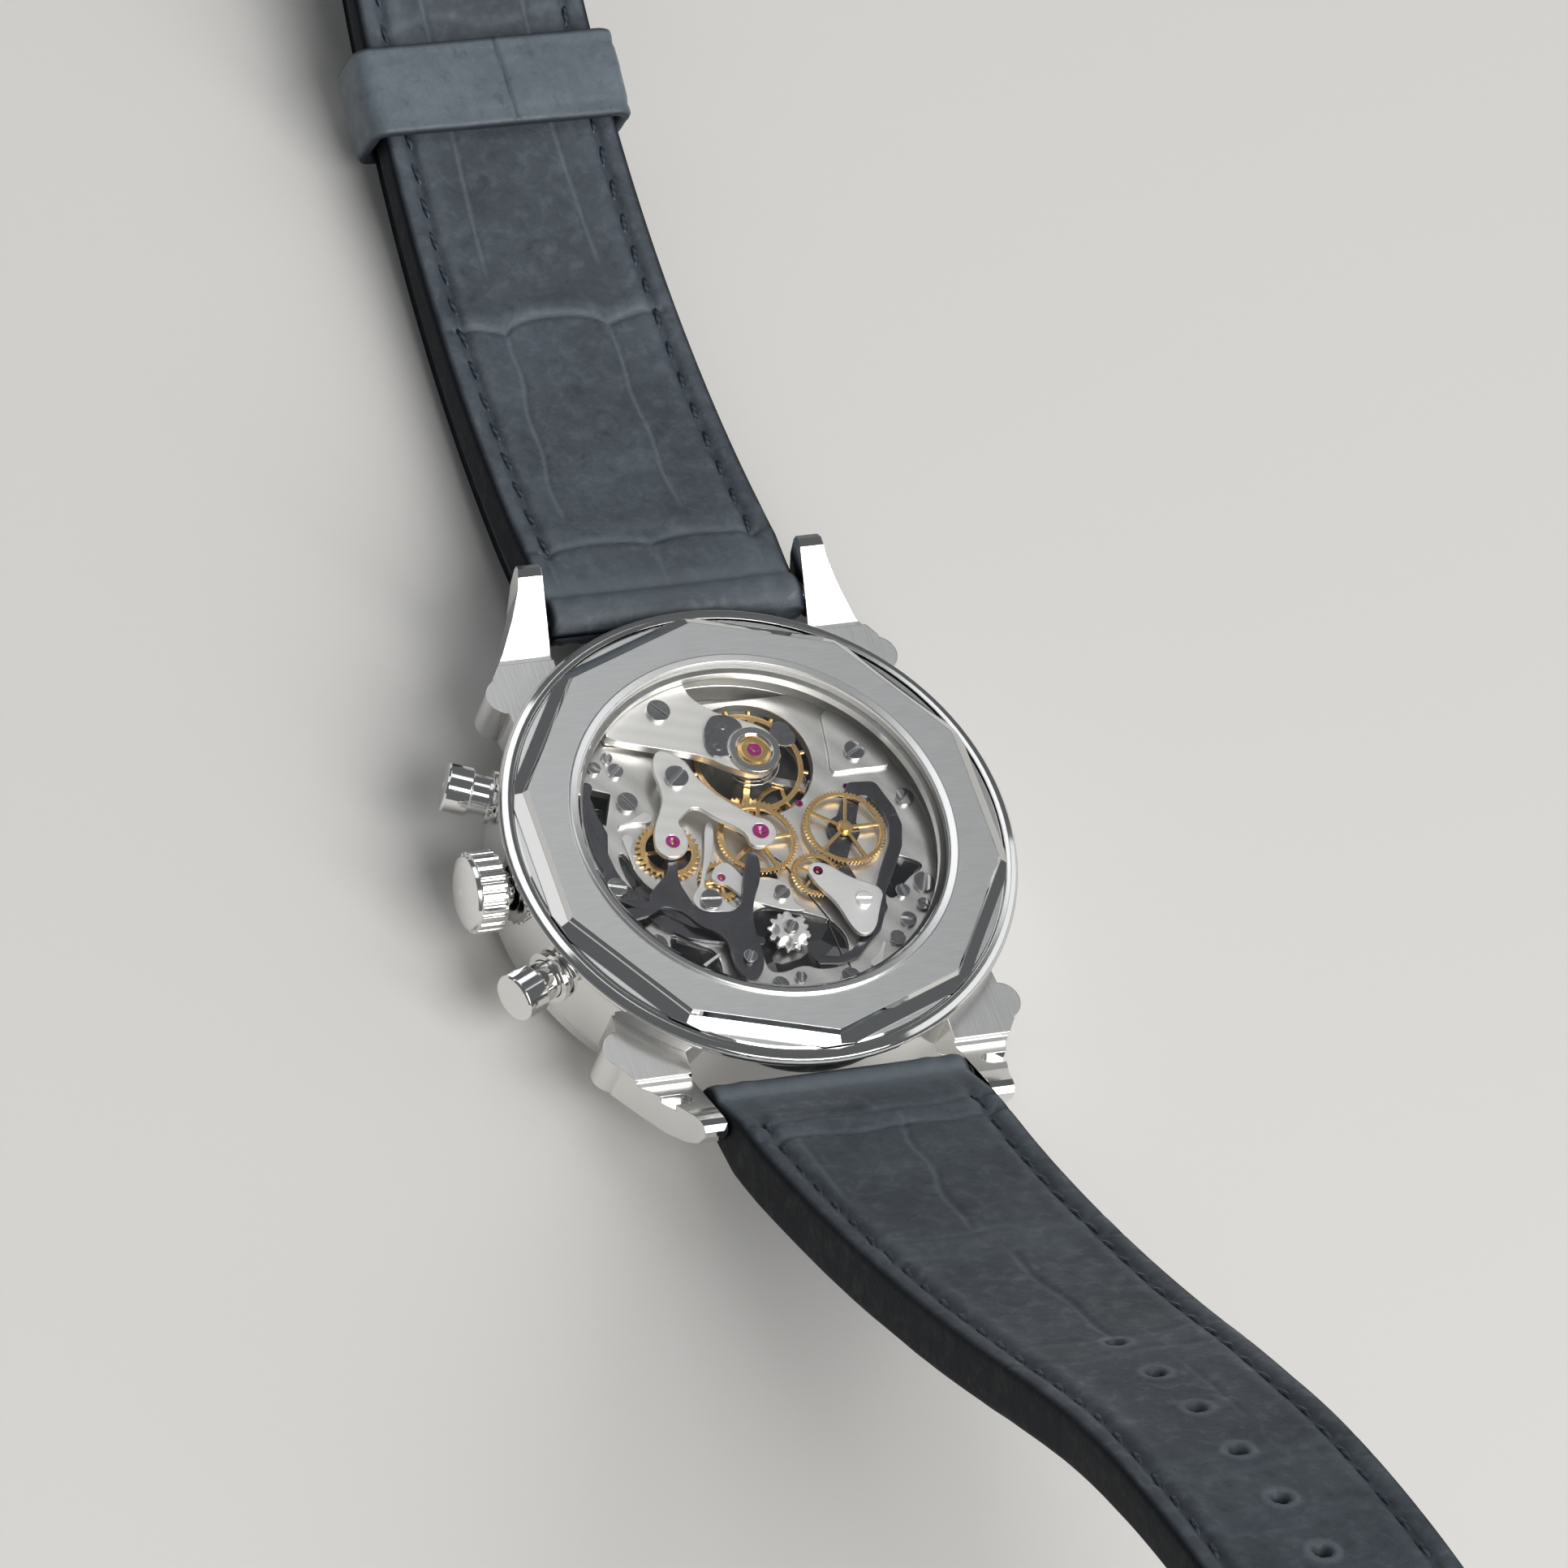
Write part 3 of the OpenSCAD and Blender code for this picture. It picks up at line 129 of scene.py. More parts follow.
def vector_maths(tree, operation, a, b):
    """One arithmetic step on whole vectors."""
    return node(tree, "ShaderNodeVectorMath", {0: a, 1: b}, operation=operation).outputs[0]


def dot(tree, a, b):
    """How far one vector points along another."""
    return node(tree, "ShaderNodeVectorMath", {0: a, 1: b}, operation="DOT_PRODUCT").outputs["Value"]


def noisy(tree, vector, scale, detail, rough=0.5):
    """Smooth noise from 0 to 1, at so many cells to the metre."""
    inputs = {"Vector": vector, "Scale": scale, "Detail": detail, "Roughness": rough}
    return node(tree, "ShaderNodeTexNoise", inputs).outputs["Fac"]


def ramp(tree, value, low, high, start, end):
    """A value stretched from the range low to high onto start to end, and held there outside it."""
    return node(tree, "ShaderNodeMapRange", {0: value, 1: low, 2: high, 3: start, 4: end}).outputs[0]


def from_axis(tree, x, y):
    """The distance from the upright axis: the root of x squared plus y squared."""
    squares = maths(tree, "ADD", maths(tree, "MULTIPLY", x, x), maths(tree, "MULTIPLY", y, y))
    return maths(tree, "SQRT", squares)


def tint(colour, factor=1.0):
    """A colour made lighter or darker, with its alpha."""
    return tuple(min(1, c * factor) for c in colour) + (1,)


# ---- shared effects ----

def brushed_group():
    """Fine lines along one axis: noise on coordinates squeezed along that axis."""
    tree, given, out = group("brushed_lines", [
        ("Vector", "Vector", (0, 0, 0)), ("Squeeze", "Vector", (300, 9000, 9000))],
        [("Lines", "Float")])
    place = vector_maths(tree, "MULTIPLY", given["Vector"], given["Squeeze"])
    tree.links.new(noisy(tree, place, 1.0, 3.0), out.inputs["Lines"])
    return tree


def turned_group():
    """Lathe marks: noise read along the distance from a centre, with a slow change round it."""
    tree, given, out = group("turned_marks", [
        ("Vector", "Vector", (0, 0, 0)), ("Centre", "Vector", (0, 0, 0)), ("Lines", "Float", 9000.0),
        ("Around", "Float", 2.0)],
        [("Marks", "Float")])
    x, y, z = split(tree, vector_maths(tree, "SUBTRACT", given["Vector"], given["Centre"]))
    radius = from_axis(tree, x, y)
    angle = maths(tree, "ARCTAN2", y, x)
    ray = node(tree, "ShaderNodeCombineXYZ", {0: maths(tree, "MULTIPLY", radius, given["Lines"]),
        1: maths(tree, "MULTIPLY", maths(tree, "SINE", angle), given["Around"]),
        2: maths(tree, "MULTIPLY", maths(tree, "COSINE", angle), given["Around"])})
    tree.links.new(noisy(tree, ray.outputs[0], 1.0, 2.0), out.inputs["Marks"])
    return tree


def sunray_group():
    """Brushing that radiates from a centre: noise read along the angle."""
    tree, given, out = group("sunray_brushing", [
        ("Vector", "Vector", (0, 0, 0)), ("Lines", "Float", 90.0)], [("Rays", "Float")])
    x, y, z = split(tree, given["Vector"])
    length = maths(tree, "MAXIMUM", from_axis(tree, x, y), 1e-5)
    ray = node(tree, "ShaderNodeCombineXYZ", {
        0: maths(tree, "MULTIPLY", maths(tree, "DIVIDE", x, length), given["Lines"]),
        1: maths(tree, "MULTIPLY", maths(tree, "DIVIDE", y, length), given["Lines"]),
        2: maths(tree, "MULTIPLY", length, 120.0)})
    tree.links.new(noisy(tree, ray.outputs[0], 1.0, 4.0), out.inputs["Rays"])
    return tree


def handled_group():
    """Soft smudges and sparse fine scratches on handled metal."""
    tree, given, out = group("handled_metal", [("Vector", "Vector", (0, 0, 0))],
        [("Smudge", "Float"), ("Scratch", "Float")])
    squeeze = vector_maths(tree, "MULTIPLY", given["Vector"], (900.0, 5200.0, 3000.0))
    scratch = ramp(tree, noisy(tree, squeeze, 1.0, 2.0), 0.66, 0.72, 0.0, 1.0)
    tree.links.new(noisy(tree, given["Vector"], 260.0, 3.0), out.inputs["Smudge"])
    tree.links.new(scratch, out.inputs["Scratch"])
    return tree


def edge_group():
    """Softened edges: the rounded normal, and how far it leans from the flat one."""
    tree, given, out = group("softened_edges", [("Radius", "Float", 0.00008)],
        [("Normal", "Vector"), ("Edge", "Float")])
    bevel = node(tree, "ShaderNodeBevel", {"Radius": given["Radius"]}, samples=6)
    flat = node(tree, "ShaderNodeNewGeometry").outputs["Normal"]
    lean = maths(tree, "SUBTRACT", 1.0, dot(tree, bevel.outputs[0], flat))
    lean = maths(tree, "MULTIPLY", lean, 5.0, clamp=True)
    tree.links.new(bevel.outputs[0], out.inputs["Normal"])
    tree.links.new(lean, out.inputs["Edge"])
    return tree


def disc_group():
    """One inside a circle seen from above, nought outside it."""
    tree, given, out = group("disc_mask", [
        ("Vector", "Vector", (0, 0, 0)), ("Centre", "Vector", (0, 0, 0)), ("Radius", "Float", 0.001)],
        [("Inside", "Float")])
    x, y, z = split(tree, vector_maths(tree, "SUBTRACT", given["Vector"], given["Centre"]))
    tree.links.new(maths(tree, "LESS_THAN", from_axis(tree, x, y), given["Radius"]), out.inputs["Inside"])
    return tree


def stripes_group():
    """Broad parallel stripes, each one lighter at one side: a saw wave across the plate. The lighter and
    darker sides are painted highlight and painted shade for the turn of each curved stripe.
    """
    tree, given, out = group("broad_stripes", [
        ("Vector", "Vector", (0, 0, 0)), ("Slant", "Vector", (0.8, 0.6, 0)), ("Pitch", "Float", 0.0022)],
        [("Stripe", "Float")])
    turns = maths(tree, "DIVIDE", dot(tree, given["Vector"], given["Slant"]), given["Pitch"])
    tree.links.new(maths(tree, "PINGPONG", turns, 0.5), out.inputs["Stripe"])
    return tree


BRUSHED, TURNED, SUNRAY = brushed_group(), turned_group(), sunray_group()
HANDLED, EDGES, DISC, STRIPES = handled_group(), edge_group(), disc_group(), stripes_group()


# ---- materials ----

def blank(name):
    """A new material with its tree, its Principled node and the object's coordinates."""
    mat = bpy.data.materials.new(name)
    mat.use_nodes = True
    tree = mat.node_tree
    tree.nodes.clear()
    shader = tree.nodes.new("ShaderNodeBsdfPrincipled")
    output = tree.nodes.new("ShaderNodeOutputMaterial")
    tree.links.new(shader.outputs[0], output.inputs["Surface"])
    coords = tree.nodes.new("ShaderNodeTexCoord").outputs["Object"]
    return mat, tree, shader, output, coords


def bumped(tree, height, strength, distance, normal):
    """A normal that leans with a height."""
    return node(tree, "ShaderNodeBump", {"Height": height, "Strength": strength, "Distance": distance,
        "Normal": normal}).outputs[0]


SPREAD = 0.1          # how much brushing lightens and darkens a metal
WINDOW_R = 0.01445    # outside of the window's ring
KNUCKLE_Y = 0.0216    # where the lugs' satin backs end
SATIN_Z = 0.0094      # top of the satin on the lugs


def metal(name, colour, rough, lines=0.0, squeeze=(300, 9000, 9000), edge=0.00006, bright=1.25, centre=None):
    """A metal with softened edges, brushing or lathe marks, smudges and fine scratches; its edges are also
    painted lighter, a painted highlight.
    """
    mat, tree, shader, output, coords = blank(name)
    edges = use(tree, EDGES, {"Radius": edge})
    worn = use(tree, HANDLED, {"Vector": coords})
    if centre is None:
        marks = use(tree, BRUSHED, {"Vector": coords, "Squeeze": squeeze})["Lines"]
    else:
        marks = use(tree, TURNED, {"Vector": coords, "Centre": centre})["Marks"]
    change = maths(tree, "MULTIPLY", worn["Smudge"], 0.4)
    change = maths(tree, "ADD", maths(tree, "MULTIPLY", marks, 0.6), change)
    tone = mix(tree, change, tint(colour, 1 - SPREAD), tint(colour, 1 + SPREAD))
    # Painted highlight: the softened edges are painted lighter, up to bright times the colour.
    tone = mix(tree, maths(tree, "MULTIPLY", edges["Edge"], 0.6), tone, tint(colour, bright))
    level = maths(tree, "ADD", maths(tree, "MULTIPLY", worn["Smudge"], rough * 0.35),
        maths(tree, "MULTIPLY", worn["Scratch"], 0.05))
    level = maths(tree, "ADD", level, rough * 0.8, clamp=True)
    tree.links.new(tone, shader.inputs["Base Color"])
    tree.links.new(level, shader.inputs["Roughness"])
    shader.inputs["Metallic"].default_value = 1.0
    normal = edges["Normal"]
    if lines:
        normal = bumped(tree, marks, lines, 0.00002, normal)
    tree.links.new(normal, shader.inputs["Normal"])
    return mat


def two_metals(name, colour, satin, polish, choose):
    """A metal that is brushed where choose says so and polished elsewhere."""
    mat, tree, shader, output, coords = blank(name)
    edges = use(tree, EDGES, {"Radius": 0.00009})
    worn = use(tree, HANDLED, {"Vector": coords})
    mask, marks = choose(tree, coords)
    tone = mix(tree, marks, tint(colour, 0.9), tint(colour, 1.12))
    tone = mix(tree, mask, tint(colour, 1.1), tone)
    brushed = maths(tree, "ADD", maths(tree, "MULTIPLY", marks, 0.12), satin - 0.06)
    rough = blend_value(tree, mask, polish, brushed)
    rough = maths(tree, "ADD", rough, maths(tree, "MULTIPLY", worn["Scratch"], 0.04), clamp=True)
    tree.links.new(tone, shader.inputs["Base Color"])
    tree.links.new(rough, shader.inputs["Roughness"])
    shader.inputs["Metallic"].default_value = 1.0
    normal = bumped(tree, maths(tree, "MULTIPLY", marks, mask), 0.25, 0.00002, edges["Normal"])
    tree.links.new(normal, shader.inputs["Normal"])
    return mat


def facing_up(tree, least):
    """One where the true surface faces upwards by at least this much."""
    flat = node(tree, "ShaderNodeNewGeometry")
    return maths(tree, "GREATER_THAN", split(tree, flat.outputs["True Normal"])[2], least)


def case_finish(tree, coords):
    """Lug backs are satin up to the knuckle, and the rest of the case is polished."""
    x, y, z = split(tree, coords)
    marks = use(tree, BRUSHED, {"Vector": coords, "Squeeze": (9000, 260, 3000)})["Lines"]
    inner = maths(tree, "LESS_THAN", maths(tree, "ABSOLUTE", y), KNUCKLE_Y)
    low = maths(tree, "LESS_THAN", z, SATIN_Z)
    return maths(tree, "MULTIPLY", maths(tree, "MULTIPLY", inner, low), facing_up(tree, 0.6)), marks


def back_finish(tree, coords):
    """Flat faces of the back and the window's ring are satin, and its bevelled walls are polished."""
    marks = use(tree, BRUSHED, {"Vector": coords, "Squeeze": (500, 7000, 3000)})["Lines"]
    ring = use(tree, DISC, {"Vector": coords, "Radius": WINDOW_R})["Inside"]
    return maths(tree, "MAXIMUM", facing_up(tree, 0.97), ring), marks


def plate_metal(name, colour, rough, pitch, depth, slant, edge=0.00014, shaded_floor_z=None):
    """A rhodium-plated bridge: broad stripes over a fine frosted grain, with rounded edges painted near white
    as a painted highlight.
    Upward floors below the given floor height are painted near black as painted shade, with small grey specks
    in it painted as a pattern."""
    mat, tree, shader, output, coords = blank(name)
    edges = use(tree, EDGES, {"Radius": edge})
    stripe = use(tree, STRIPES, {"Vector": coords, "Slant": slant, "Pitch": pitch})["Stripe"]
    grain = noisy(tree, coords, 9000.0, 2.0)
    slow = noisy(tree, coords, 240.0, 2.0)
    change = maths(tree, "ADD", stripe, maths(tree, "MULTIPLY", grain, 0.5))
    # The stripes are the real finish; their lighter and darker sides are painted highlight and painted shade.
    tone = mix(tree, change, tint(colour, 1 - depth), tint(colour))
    # Painted highlight: the rounded edges are painted near white.
    tone = mix(tree, maths(tree, "MULTIPLY", edges["Edge"], 0.9), tone, (0.95, 0.94, 0.91, 1))
    if shaded_floor_z is not None:
        # Painted shade: upward floors low in the pockets are painted near black, with grey specks.
        cells = node(tree, "ShaderNodeTexVoronoi", {"Vector": coords, "Scale": 620.0}).outputs["Color"]
        grey_speck = ramp(tree, split(tree, cells)[0], 0.55, 0.95, 0.0, 0.5)
        low = maths(tree, "LESS_THAN", split(tree, coords)[2], shaded_floor_z)
        sunk = maths(tree, "MULTIPLY", low, facing_up(tree, 0.9))
        tone = mix(tree, sunk, tone, mix(tree, grey_speck, (0.030, 0.030, 0.032, 1), (0.40, 0.40, 0.40, 1)))
    level = maths(tree, "ADD", maths(tree, "MULTIPLY", grain, 0.14), maths(tree, "MULTIPLY", slow, 0.1))
    level = maths(tree, "ADD", level, rough - 0.12)
    level = maths(tree, "SUBTRACT", level, maths(tree, "MULTIPLY", edges["Edge"], rough * 0.6), clamp=True)
    tree.links.new(tone, shader.inputs["Base Color"])
    tree.links.new(level, shader.inputs["Roughness"])
    shader.inputs["Metallic"].default_value = 1.0
    tree.links.new(bumped(tree, grain, 0.25, 0.00001, edges["Normal"]), shader.inputs["Normal"])
    return mat


def spotted(mat, spots):
    """Repaints round places seen from above on a metal. A spot gives centre, radius, colour and roughness."""
    tree = mat.node_tree
    shader = next(n for n in tree.nodes if n.type == "BSDF_PRINCIPLED")
    coords = next(n for n in tree.nodes if n.type == "TEX_COORD").outputs["Object"]
    for centre, radius, colour, rough in spots:
        inside = use(tree, DISC, {"Vector": coords, "Centre": centre, "Radius": radius})["Inside"]
        tone = mix(tree, inside, shader.inputs["Base Color"].links[0].from_socket, colour + (1,))
        level = blend_value(tree, inside, shader.inputs["Roughness"].links[0].from_socket, rough)
        tree.links.new(tone, shader.inputs["Base Color"])
        tree.links.new(level, shader.inputs["Roughness"])
    return mat


def ruby_material():
    """A synthetic ruby: deep purplish red in soft uneven clouds, under a clear polish."""
    mat, tree, shader, output, coords = blank("ruby_polished")
    cloud = noisy(tree, coords, 1400.0, 2.0)
    tone = mix(tree, cloud, (0.22, 0.006, 0.10, 1), (0.42, 0.02, 0.24, 1))
    tree.links.new(tone, shader.inputs["Base Color"])
    shader.inputs["Roughness"].default_value = 0.06
    shader.inputs["IOR"].default_value = 1.77
    shader.inputs["Coat Weight"].default_value = 0.6
    shader.inputs["Coat Roughness"].default_value = 0.03
    tree.links.new(use(tree, EDGES, {"Radius": 0.00005})["Normal"], shader.inputs["Normal"])
    return mat


def glass_material():
    """Sapphire: clear to shadow rays and through its rim, with faint dust in its roughness."""
    mat, tree, shader, output, coords = blank("sapphire_glass")
    dust = noisy(tree, coords, 700.0, 3.0)
    shader.inputs["Base Color"].default_value = (1, 1, 1, 1)
    shader.inputs["Transmission Weight"].default_value = 1.0
    shader.inputs["Metallic"].default_value = 0.0
    shader.inputs["IOR"].default_value = 1.5
    tree.links.new(maths(tree, "MULTIPLY", dust, 0.004), shader.inputs["Roughness"])
    clear = tree.nodes.new("ShaderNodeBsdfTransparent")
    rays = tree.nodes.new("ShaderNodeLightPath").outputs
    flat = node(tree, "ShaderNodeNewGeometry").outputs["True Normal"]
    rim = maths(tree, "LESS_THAN", maths(tree, "ABSOLUTE", split(tree, flat)[2]), 0.3)
    through = maths(tree, "MAXIMUM", rays["Is Shadow Ray"], rays["Is Diffuse Ray"])
    through = maths(tree, "MAXIMUM", through, rim)
    mixed = node(tree, "ShaderNodeMixShader", {0: through, 1: shader.outputs[0], 2: clear.outputs[0]})
    tree.links.new(mixed.outputs[0], output.inputs["Surface"])
    return mat


def rubber_material():
    """Black gasket rubber with a fine uneven sheen."""
    mat, tree, shader, output, coords = blank("gasket_rubber")
    cloud = noisy(tree, coords, 2600.0, 3.0)
    tone = mix(tree, cloud, (0.010, 0.010, 0.011, 1), (0.030, 0.030, 0.032, 1))
    tree.links.new(tone, shader.inputs["Base Color"])
    tree.links.new(maths(tree, "ADD", maths(tree, "MULTIPLY", cloud, 0.3), 0.45), shader.inputs["Roughness"])
    return mat


def dial_material():
    """A silvered sunray dial."""
    mat, tree, shader, output, coords = blank("silvered_dial")
    rays = use(tree, SUNRAY, {"Vector": coords})["Rays"]
    tree.links.new(mix(tree, rays, (0.60, 0.60, 0.58, 1), (0.82, 0.82, 0.80, 1)), shader.inputs["Base Color"])
    tree.links.new(maths(tree, "ADD", maths(tree, "MULTIPLY", rays, 0.2), 0.3), shader.inputs["Roughness"])
    shader.inputs["Metallic"].default_value = 0.8
    return mat


def leather_material(name, shades, sheen):
    """Waxed calf: wrinkled and pored, rubbed lighter on the ridges, with dark painted edges. Painted shade
    darkens the hollows and fills the holes near black, and painted highlights and sheen lighten marked lines.
    It reads the piece's own attributes: flow (along, across, up in metres) and one of rubbing with painted
    light, painted edge and painted shade in holes."""
    deep, base, light, rubbed, edge = shades
    mat, tree, shader, output, coords = blank(name)
    flow = node(tree, "ShaderNodeAttribute", attribute_name="flow").outputs["Vector"]
    wear_and_light = node(tree, "ShaderNodeAttribute", attribute_name="wear_and_light").outputs["Vector"]
    rub_and_light, rim, hole_shade = split(tree, wear_and_light)
    warp = node(tree, "ShaderNodeTexNoise", {"Vector": flow, "Scale": 320.0, "Detail": 3.0}).outputs["Color"]
    bent = vector_maths(tree, "ADD", flow, vector_maths(tree, "MULTIPLY", warp, (0.0022, 0.0022, 0.0022)))
    cells = node(tree, "ShaderNodeTexVoronoi", {"Vector": bent, "Scale": 1100.0}, feature="DISTANCE_TO_EDGE")
    crack = ramp(tree, cells.outputs["Distance"], 0.0, 0.22, 0.0, 1.0)
    creases = noisy(tree, bent, 700.0, 7.0, 0.66)
    broad = noisy(tree, flow, 120.0, 4.0)
    fine = noisy(tree, flow, 5200.0, 3.0)
    tone = mix(tree, ramp(tree, broad, 0.3, 0.7, 0.0, 1.0), base + (1,), light + (1,))
    tone = mix(tree, maths(tree, "MULTIPLY", maths(tree, "SUBTRACT", 1.0, crack), 0.10), tone, deep + (1,))
    veins = ramp(tree, creases, 0.50, 0.68, 0.0, 1.0)
    tone = mix(tree, maths(tree, "MULTIPLY", veins, 0.30), tone, rubbed + (1,))
    pits = ramp(tree, creases, 0.30, 0.44, 1.0, 0.0)
    tone = mix(tree, maths(tree, "MULTIPLY", pits, 0.42), tone, deep + (1,))
    # Lighter where rubbed, and painted highlight and sheen along the marked lines, the roll and the holes'
    # lips.
    tone = mix(tree, maths(tree, "MULTIPLY", rub_and_light, 0.7, clamp=True), tone, rubbed + (1,))
    # Painted shade: hollows of the relief are darkened toward the deep shade.
    hollow = maths(tree, "MULTIPLY", rub_and_light, -1.0, clamp=True)
    tone = mix(tree, maths(tree, "MULTIPLY", hollow, 0.75), tone, deep + (1,))
    tone = mix(tree, rim, tone, edge + (1,))
    # Painted shade: the holes are filled near black.
    tone = mix(tree, hole_shade, tone, (0.004, 0.004, 0.005, 1))
    height = maths(tree, "ADD", creases, maths(tree, "MULTIPLY", crack, 0.12))
    height = maths(tree, "ADD", height, maths(tree, "MULTIPLY", fine, 0.22))
    tree.links.new(tone, shader.inputs["Base Color"])
    rough = maths(tree, "SUBTRACT", sheen, maths(tree, "MULTIPLY", veins, 0.12))
    rough = maths(tree, "ADD", rough, maths(tree, "MULTIPLY", hole_shade, 0.4), clamp=True)
    tree.links.new(rough, shader.inputs["Roughness"])
    shine = maths(tree, "SUBTRACT", 0.42, maths(tree, "MULTIPLY", rim, 0.32))
    tree.links.new(shine, shader.inputs["Specular IOR Level"])
    flat = node(tree, "ShaderNodeNewGeometry").outputs["Normal"]
    tree.links.new(bumped(tree, height, 0.40, 0.00016, flat), shader.inputs["Normal"])
    return mat


def thread_material():
    """Waxed dark blue thread, twisted along its length."""
    mat, tree, shader, output, coords = blank("dark_thread")
    flow = node(tree, "ShaderNodeAttribute", attribute_name="flow").outputs["Vector"]
    wave = node(tree, "ShaderNodeTexWave", {"Vector": flow, "Scale": 900.0, "Distortion": 1.0},
        wave_type="BANDS", bands_direction="DIAGONAL")
    twist = wave.outputs["Fac"]
    tone = mix(tree, twist, (0.012, 0.018, 0.032, 1), (0.040, 0.056, 0.080, 1))
    tree.links.new(tone, shader.inputs["Base Color"])
    shader.inputs["Roughness"].default_value = 0.42
    flat = node(tree, "ShaderNodeNewGeometry").outputs["Normal"]
    tree.links.new(bumped(tree, twist, 0.3, 0.00003, flat), shader.inputs["Normal"])
    return mat


def floor_material():
    """A pale matt sweep with a barely uneven tone."""
    mat, tree, shader, output, coords = blank("pale_floor")
    cloud = noisy(tree, coords, 4.0, 3.0)
    tone = mix(tree, cloud, (0.70, 0.69, 0.67, 1), (0.74, 0.73, 0.71, 1))
    tree.links.new(tone, shader.inputs["Base Color"])
    shader.inputs["Roughness"].default_value = 0.7
    shader.inputs["Specular IOR Level"].default_value = 0.2
    return mat


def centre_of(name):
    """The middle of a node's box, for lathe marks and painted spots."""
    low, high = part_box(name)
    return tuple((a + b) / 2 for a, b in zip(low, high))


STEEL = (0.74, 0.735, 0.72)
POLISH = (0.86, 0.855, 0.84)
GILT = (0.90, 0.60, 0.27)
RED = (0.36, 0.015, 0.18)

# Height under which the bridges' upward floors get painted shade.
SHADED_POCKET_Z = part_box("barrel_bridge")[0][2] + 0.0005

M = {
    "case": two_metals("case_steel", STEEL, 0.34, 0.07, case_finish),
    # Painted highlight: the window's ring is painted near white, lighter than the back's steel.
    "back": spotted(two_metals("back_steel", (0.70, 0.70, 0.69), 0.36, 0.05, back_finish),
        [((0, 0, 0), WINDOW_R, (0.95, 0.95, 0.94), 0.30)]),
    "polish": metal("polished_steel", POLISH, 0.07, edge=0.00009),
    "knurl": metal("crown_steel", POLISH, 0.10, edge=0.00010),
    "screw": metal("screw_steel", (0.56, 0.56, 0.565), 0.12, lines=0.1, edge=0.00009),
    "brushed": metal("brushed_steel", STEEL, 0.28, lines=0.3),
    "bright": metal("bright_lever", (0.92, 0.91, 0.89), 0.34, lines=0.15, squeeze=(2500, 2500, 2500),
        edge=0.00009),
    "dark": metal("dark_lever", (0.13, 0.13, 0.14), 0.24, lines=0.4, squeeze=(7000, 500, 3000),
        edge=0.00011, bright=2.6),
    "coupling": spotted(metal("coupling_bridge_steel", (0.93, 0.92, 0.90), 0.40, lines=0.15, edge=0.00011),
        [(centre_of("coupling_wheel"), 0.00037, RED, 0.05)]),
    "index": spotted(metal("index_steel", (0.20, 0.20, 0.21), 0.28, lines=0.2, edge=0.00008, bright=2.5),
        [(centre_of("balance_wheel"), 0.00206, (0.84, 0.84, 0.82), 0.12),
         (centre_of("balance_wheel"), 0.00125, (0.85, 0.58, 0.24), 0.2)]),
    "bridge": plate_metal("striped_bridge", (0.86, 0.85, 0.82), 0.36, 0.0022, 0.40, (0.80, 0.60, 0),
        shaded_floor_z=SHADED_POCKET_Z),
    "frost": plate_metal("frosted_bridge", (0.90, 0.89, 0.86), 0.42, 0.0012, 0.14, (0.30, 0.95, 0)),
    # Painted shade: the main plate is painted dark grey so the gaps between the bridges read as shade.
    "plate": plate_metal("main_plate_painted_shade", (0.22, 0.22, 0.215), 0.40, 0.0009, 0.30, (0.7, -0.7, 0)),
    "gilt": metal("gilt_brass", GILT, 0.22, lines=0.25, squeeze=(3000, 3000, 3000), edge=0.00006, bright=1.3),
    "ruby": ruby_material(),
    "glass": glass_material(),
    "rubber": rubber_material(),
    "gasket": spotted(rubber_material(), [((0, 0, 0), 0.0141, (0.55, 0.55, 0.54), 0.35)]),
    "dial": dial_material(),
}

LOOKS = {
    "case": ["case_middle"],
    "polish": ["bezel", "case_tubes", "pusher_start", "pusher_reset", "buckle_frame", "buckle_tang"],
    "glass": ["front_crystal", "caseback_glass"],
    "gasket": ["seal_rings"],
    "dial": ["flange_ring", "dial"],
    "gilt": ["hour_markers", "chronograph_hand", "minute_counter_hand", "intermediate_wheel",
        "minute_hand", "hour_wheel", "hour_hand", "third_wheel", "fourth_wheel", "seconds_hand",
        "balance_wheel", "barrel"],
    "back": ["caseback"],
    "frost": ["movement_ring", "chronograph_bridge", "balance_cock"],
    "brushed": ["spring_bars", "winding_stem", "escape_wheel", "pallet_fork", "hairspring",
        "ratchet_wheel", "buckle_bar"],
    "plate": ["main_plate"],
    "bridge": ["barrel_bridge", "train_bridge"],
    "bright": ["minute_bridge", "lever_springs", "brake_lever", "column_wheel"],
    "index": ["regulator"],
    "ruby": ["jewels"],
    "screw": ["bridge_screws"],
    "rubber": ["crown_gasket"],
    "knurl": ["crown"],
    "dark": ["operating_lever", "hammer", "coupling_lever"],
    "coupling": ["coupling_bridge"],
    "wheel": ["coupling_wheel", "chronograph_wheel", "minute_counter_wheel", "centre_wheel",
        "driving_wheel"],
}


def dress():
    """Gives every CAD node its material. Each gilt wheel has lathe marks round its own centre."""
    for look, names in LOOKS.items():
        for name in names:
            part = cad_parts[name]
            if look == "wheel":
                mat = metal("gilt_" + name, GILT, 0.22, lines=0.35, edge=0.00005, bright=1.3,
                    centre=centre_of(name))
            else:
                mat = M[look]
            part.data.materials.clear()
            part.data.materials.append(mat)


dress()


# ---- leather ----

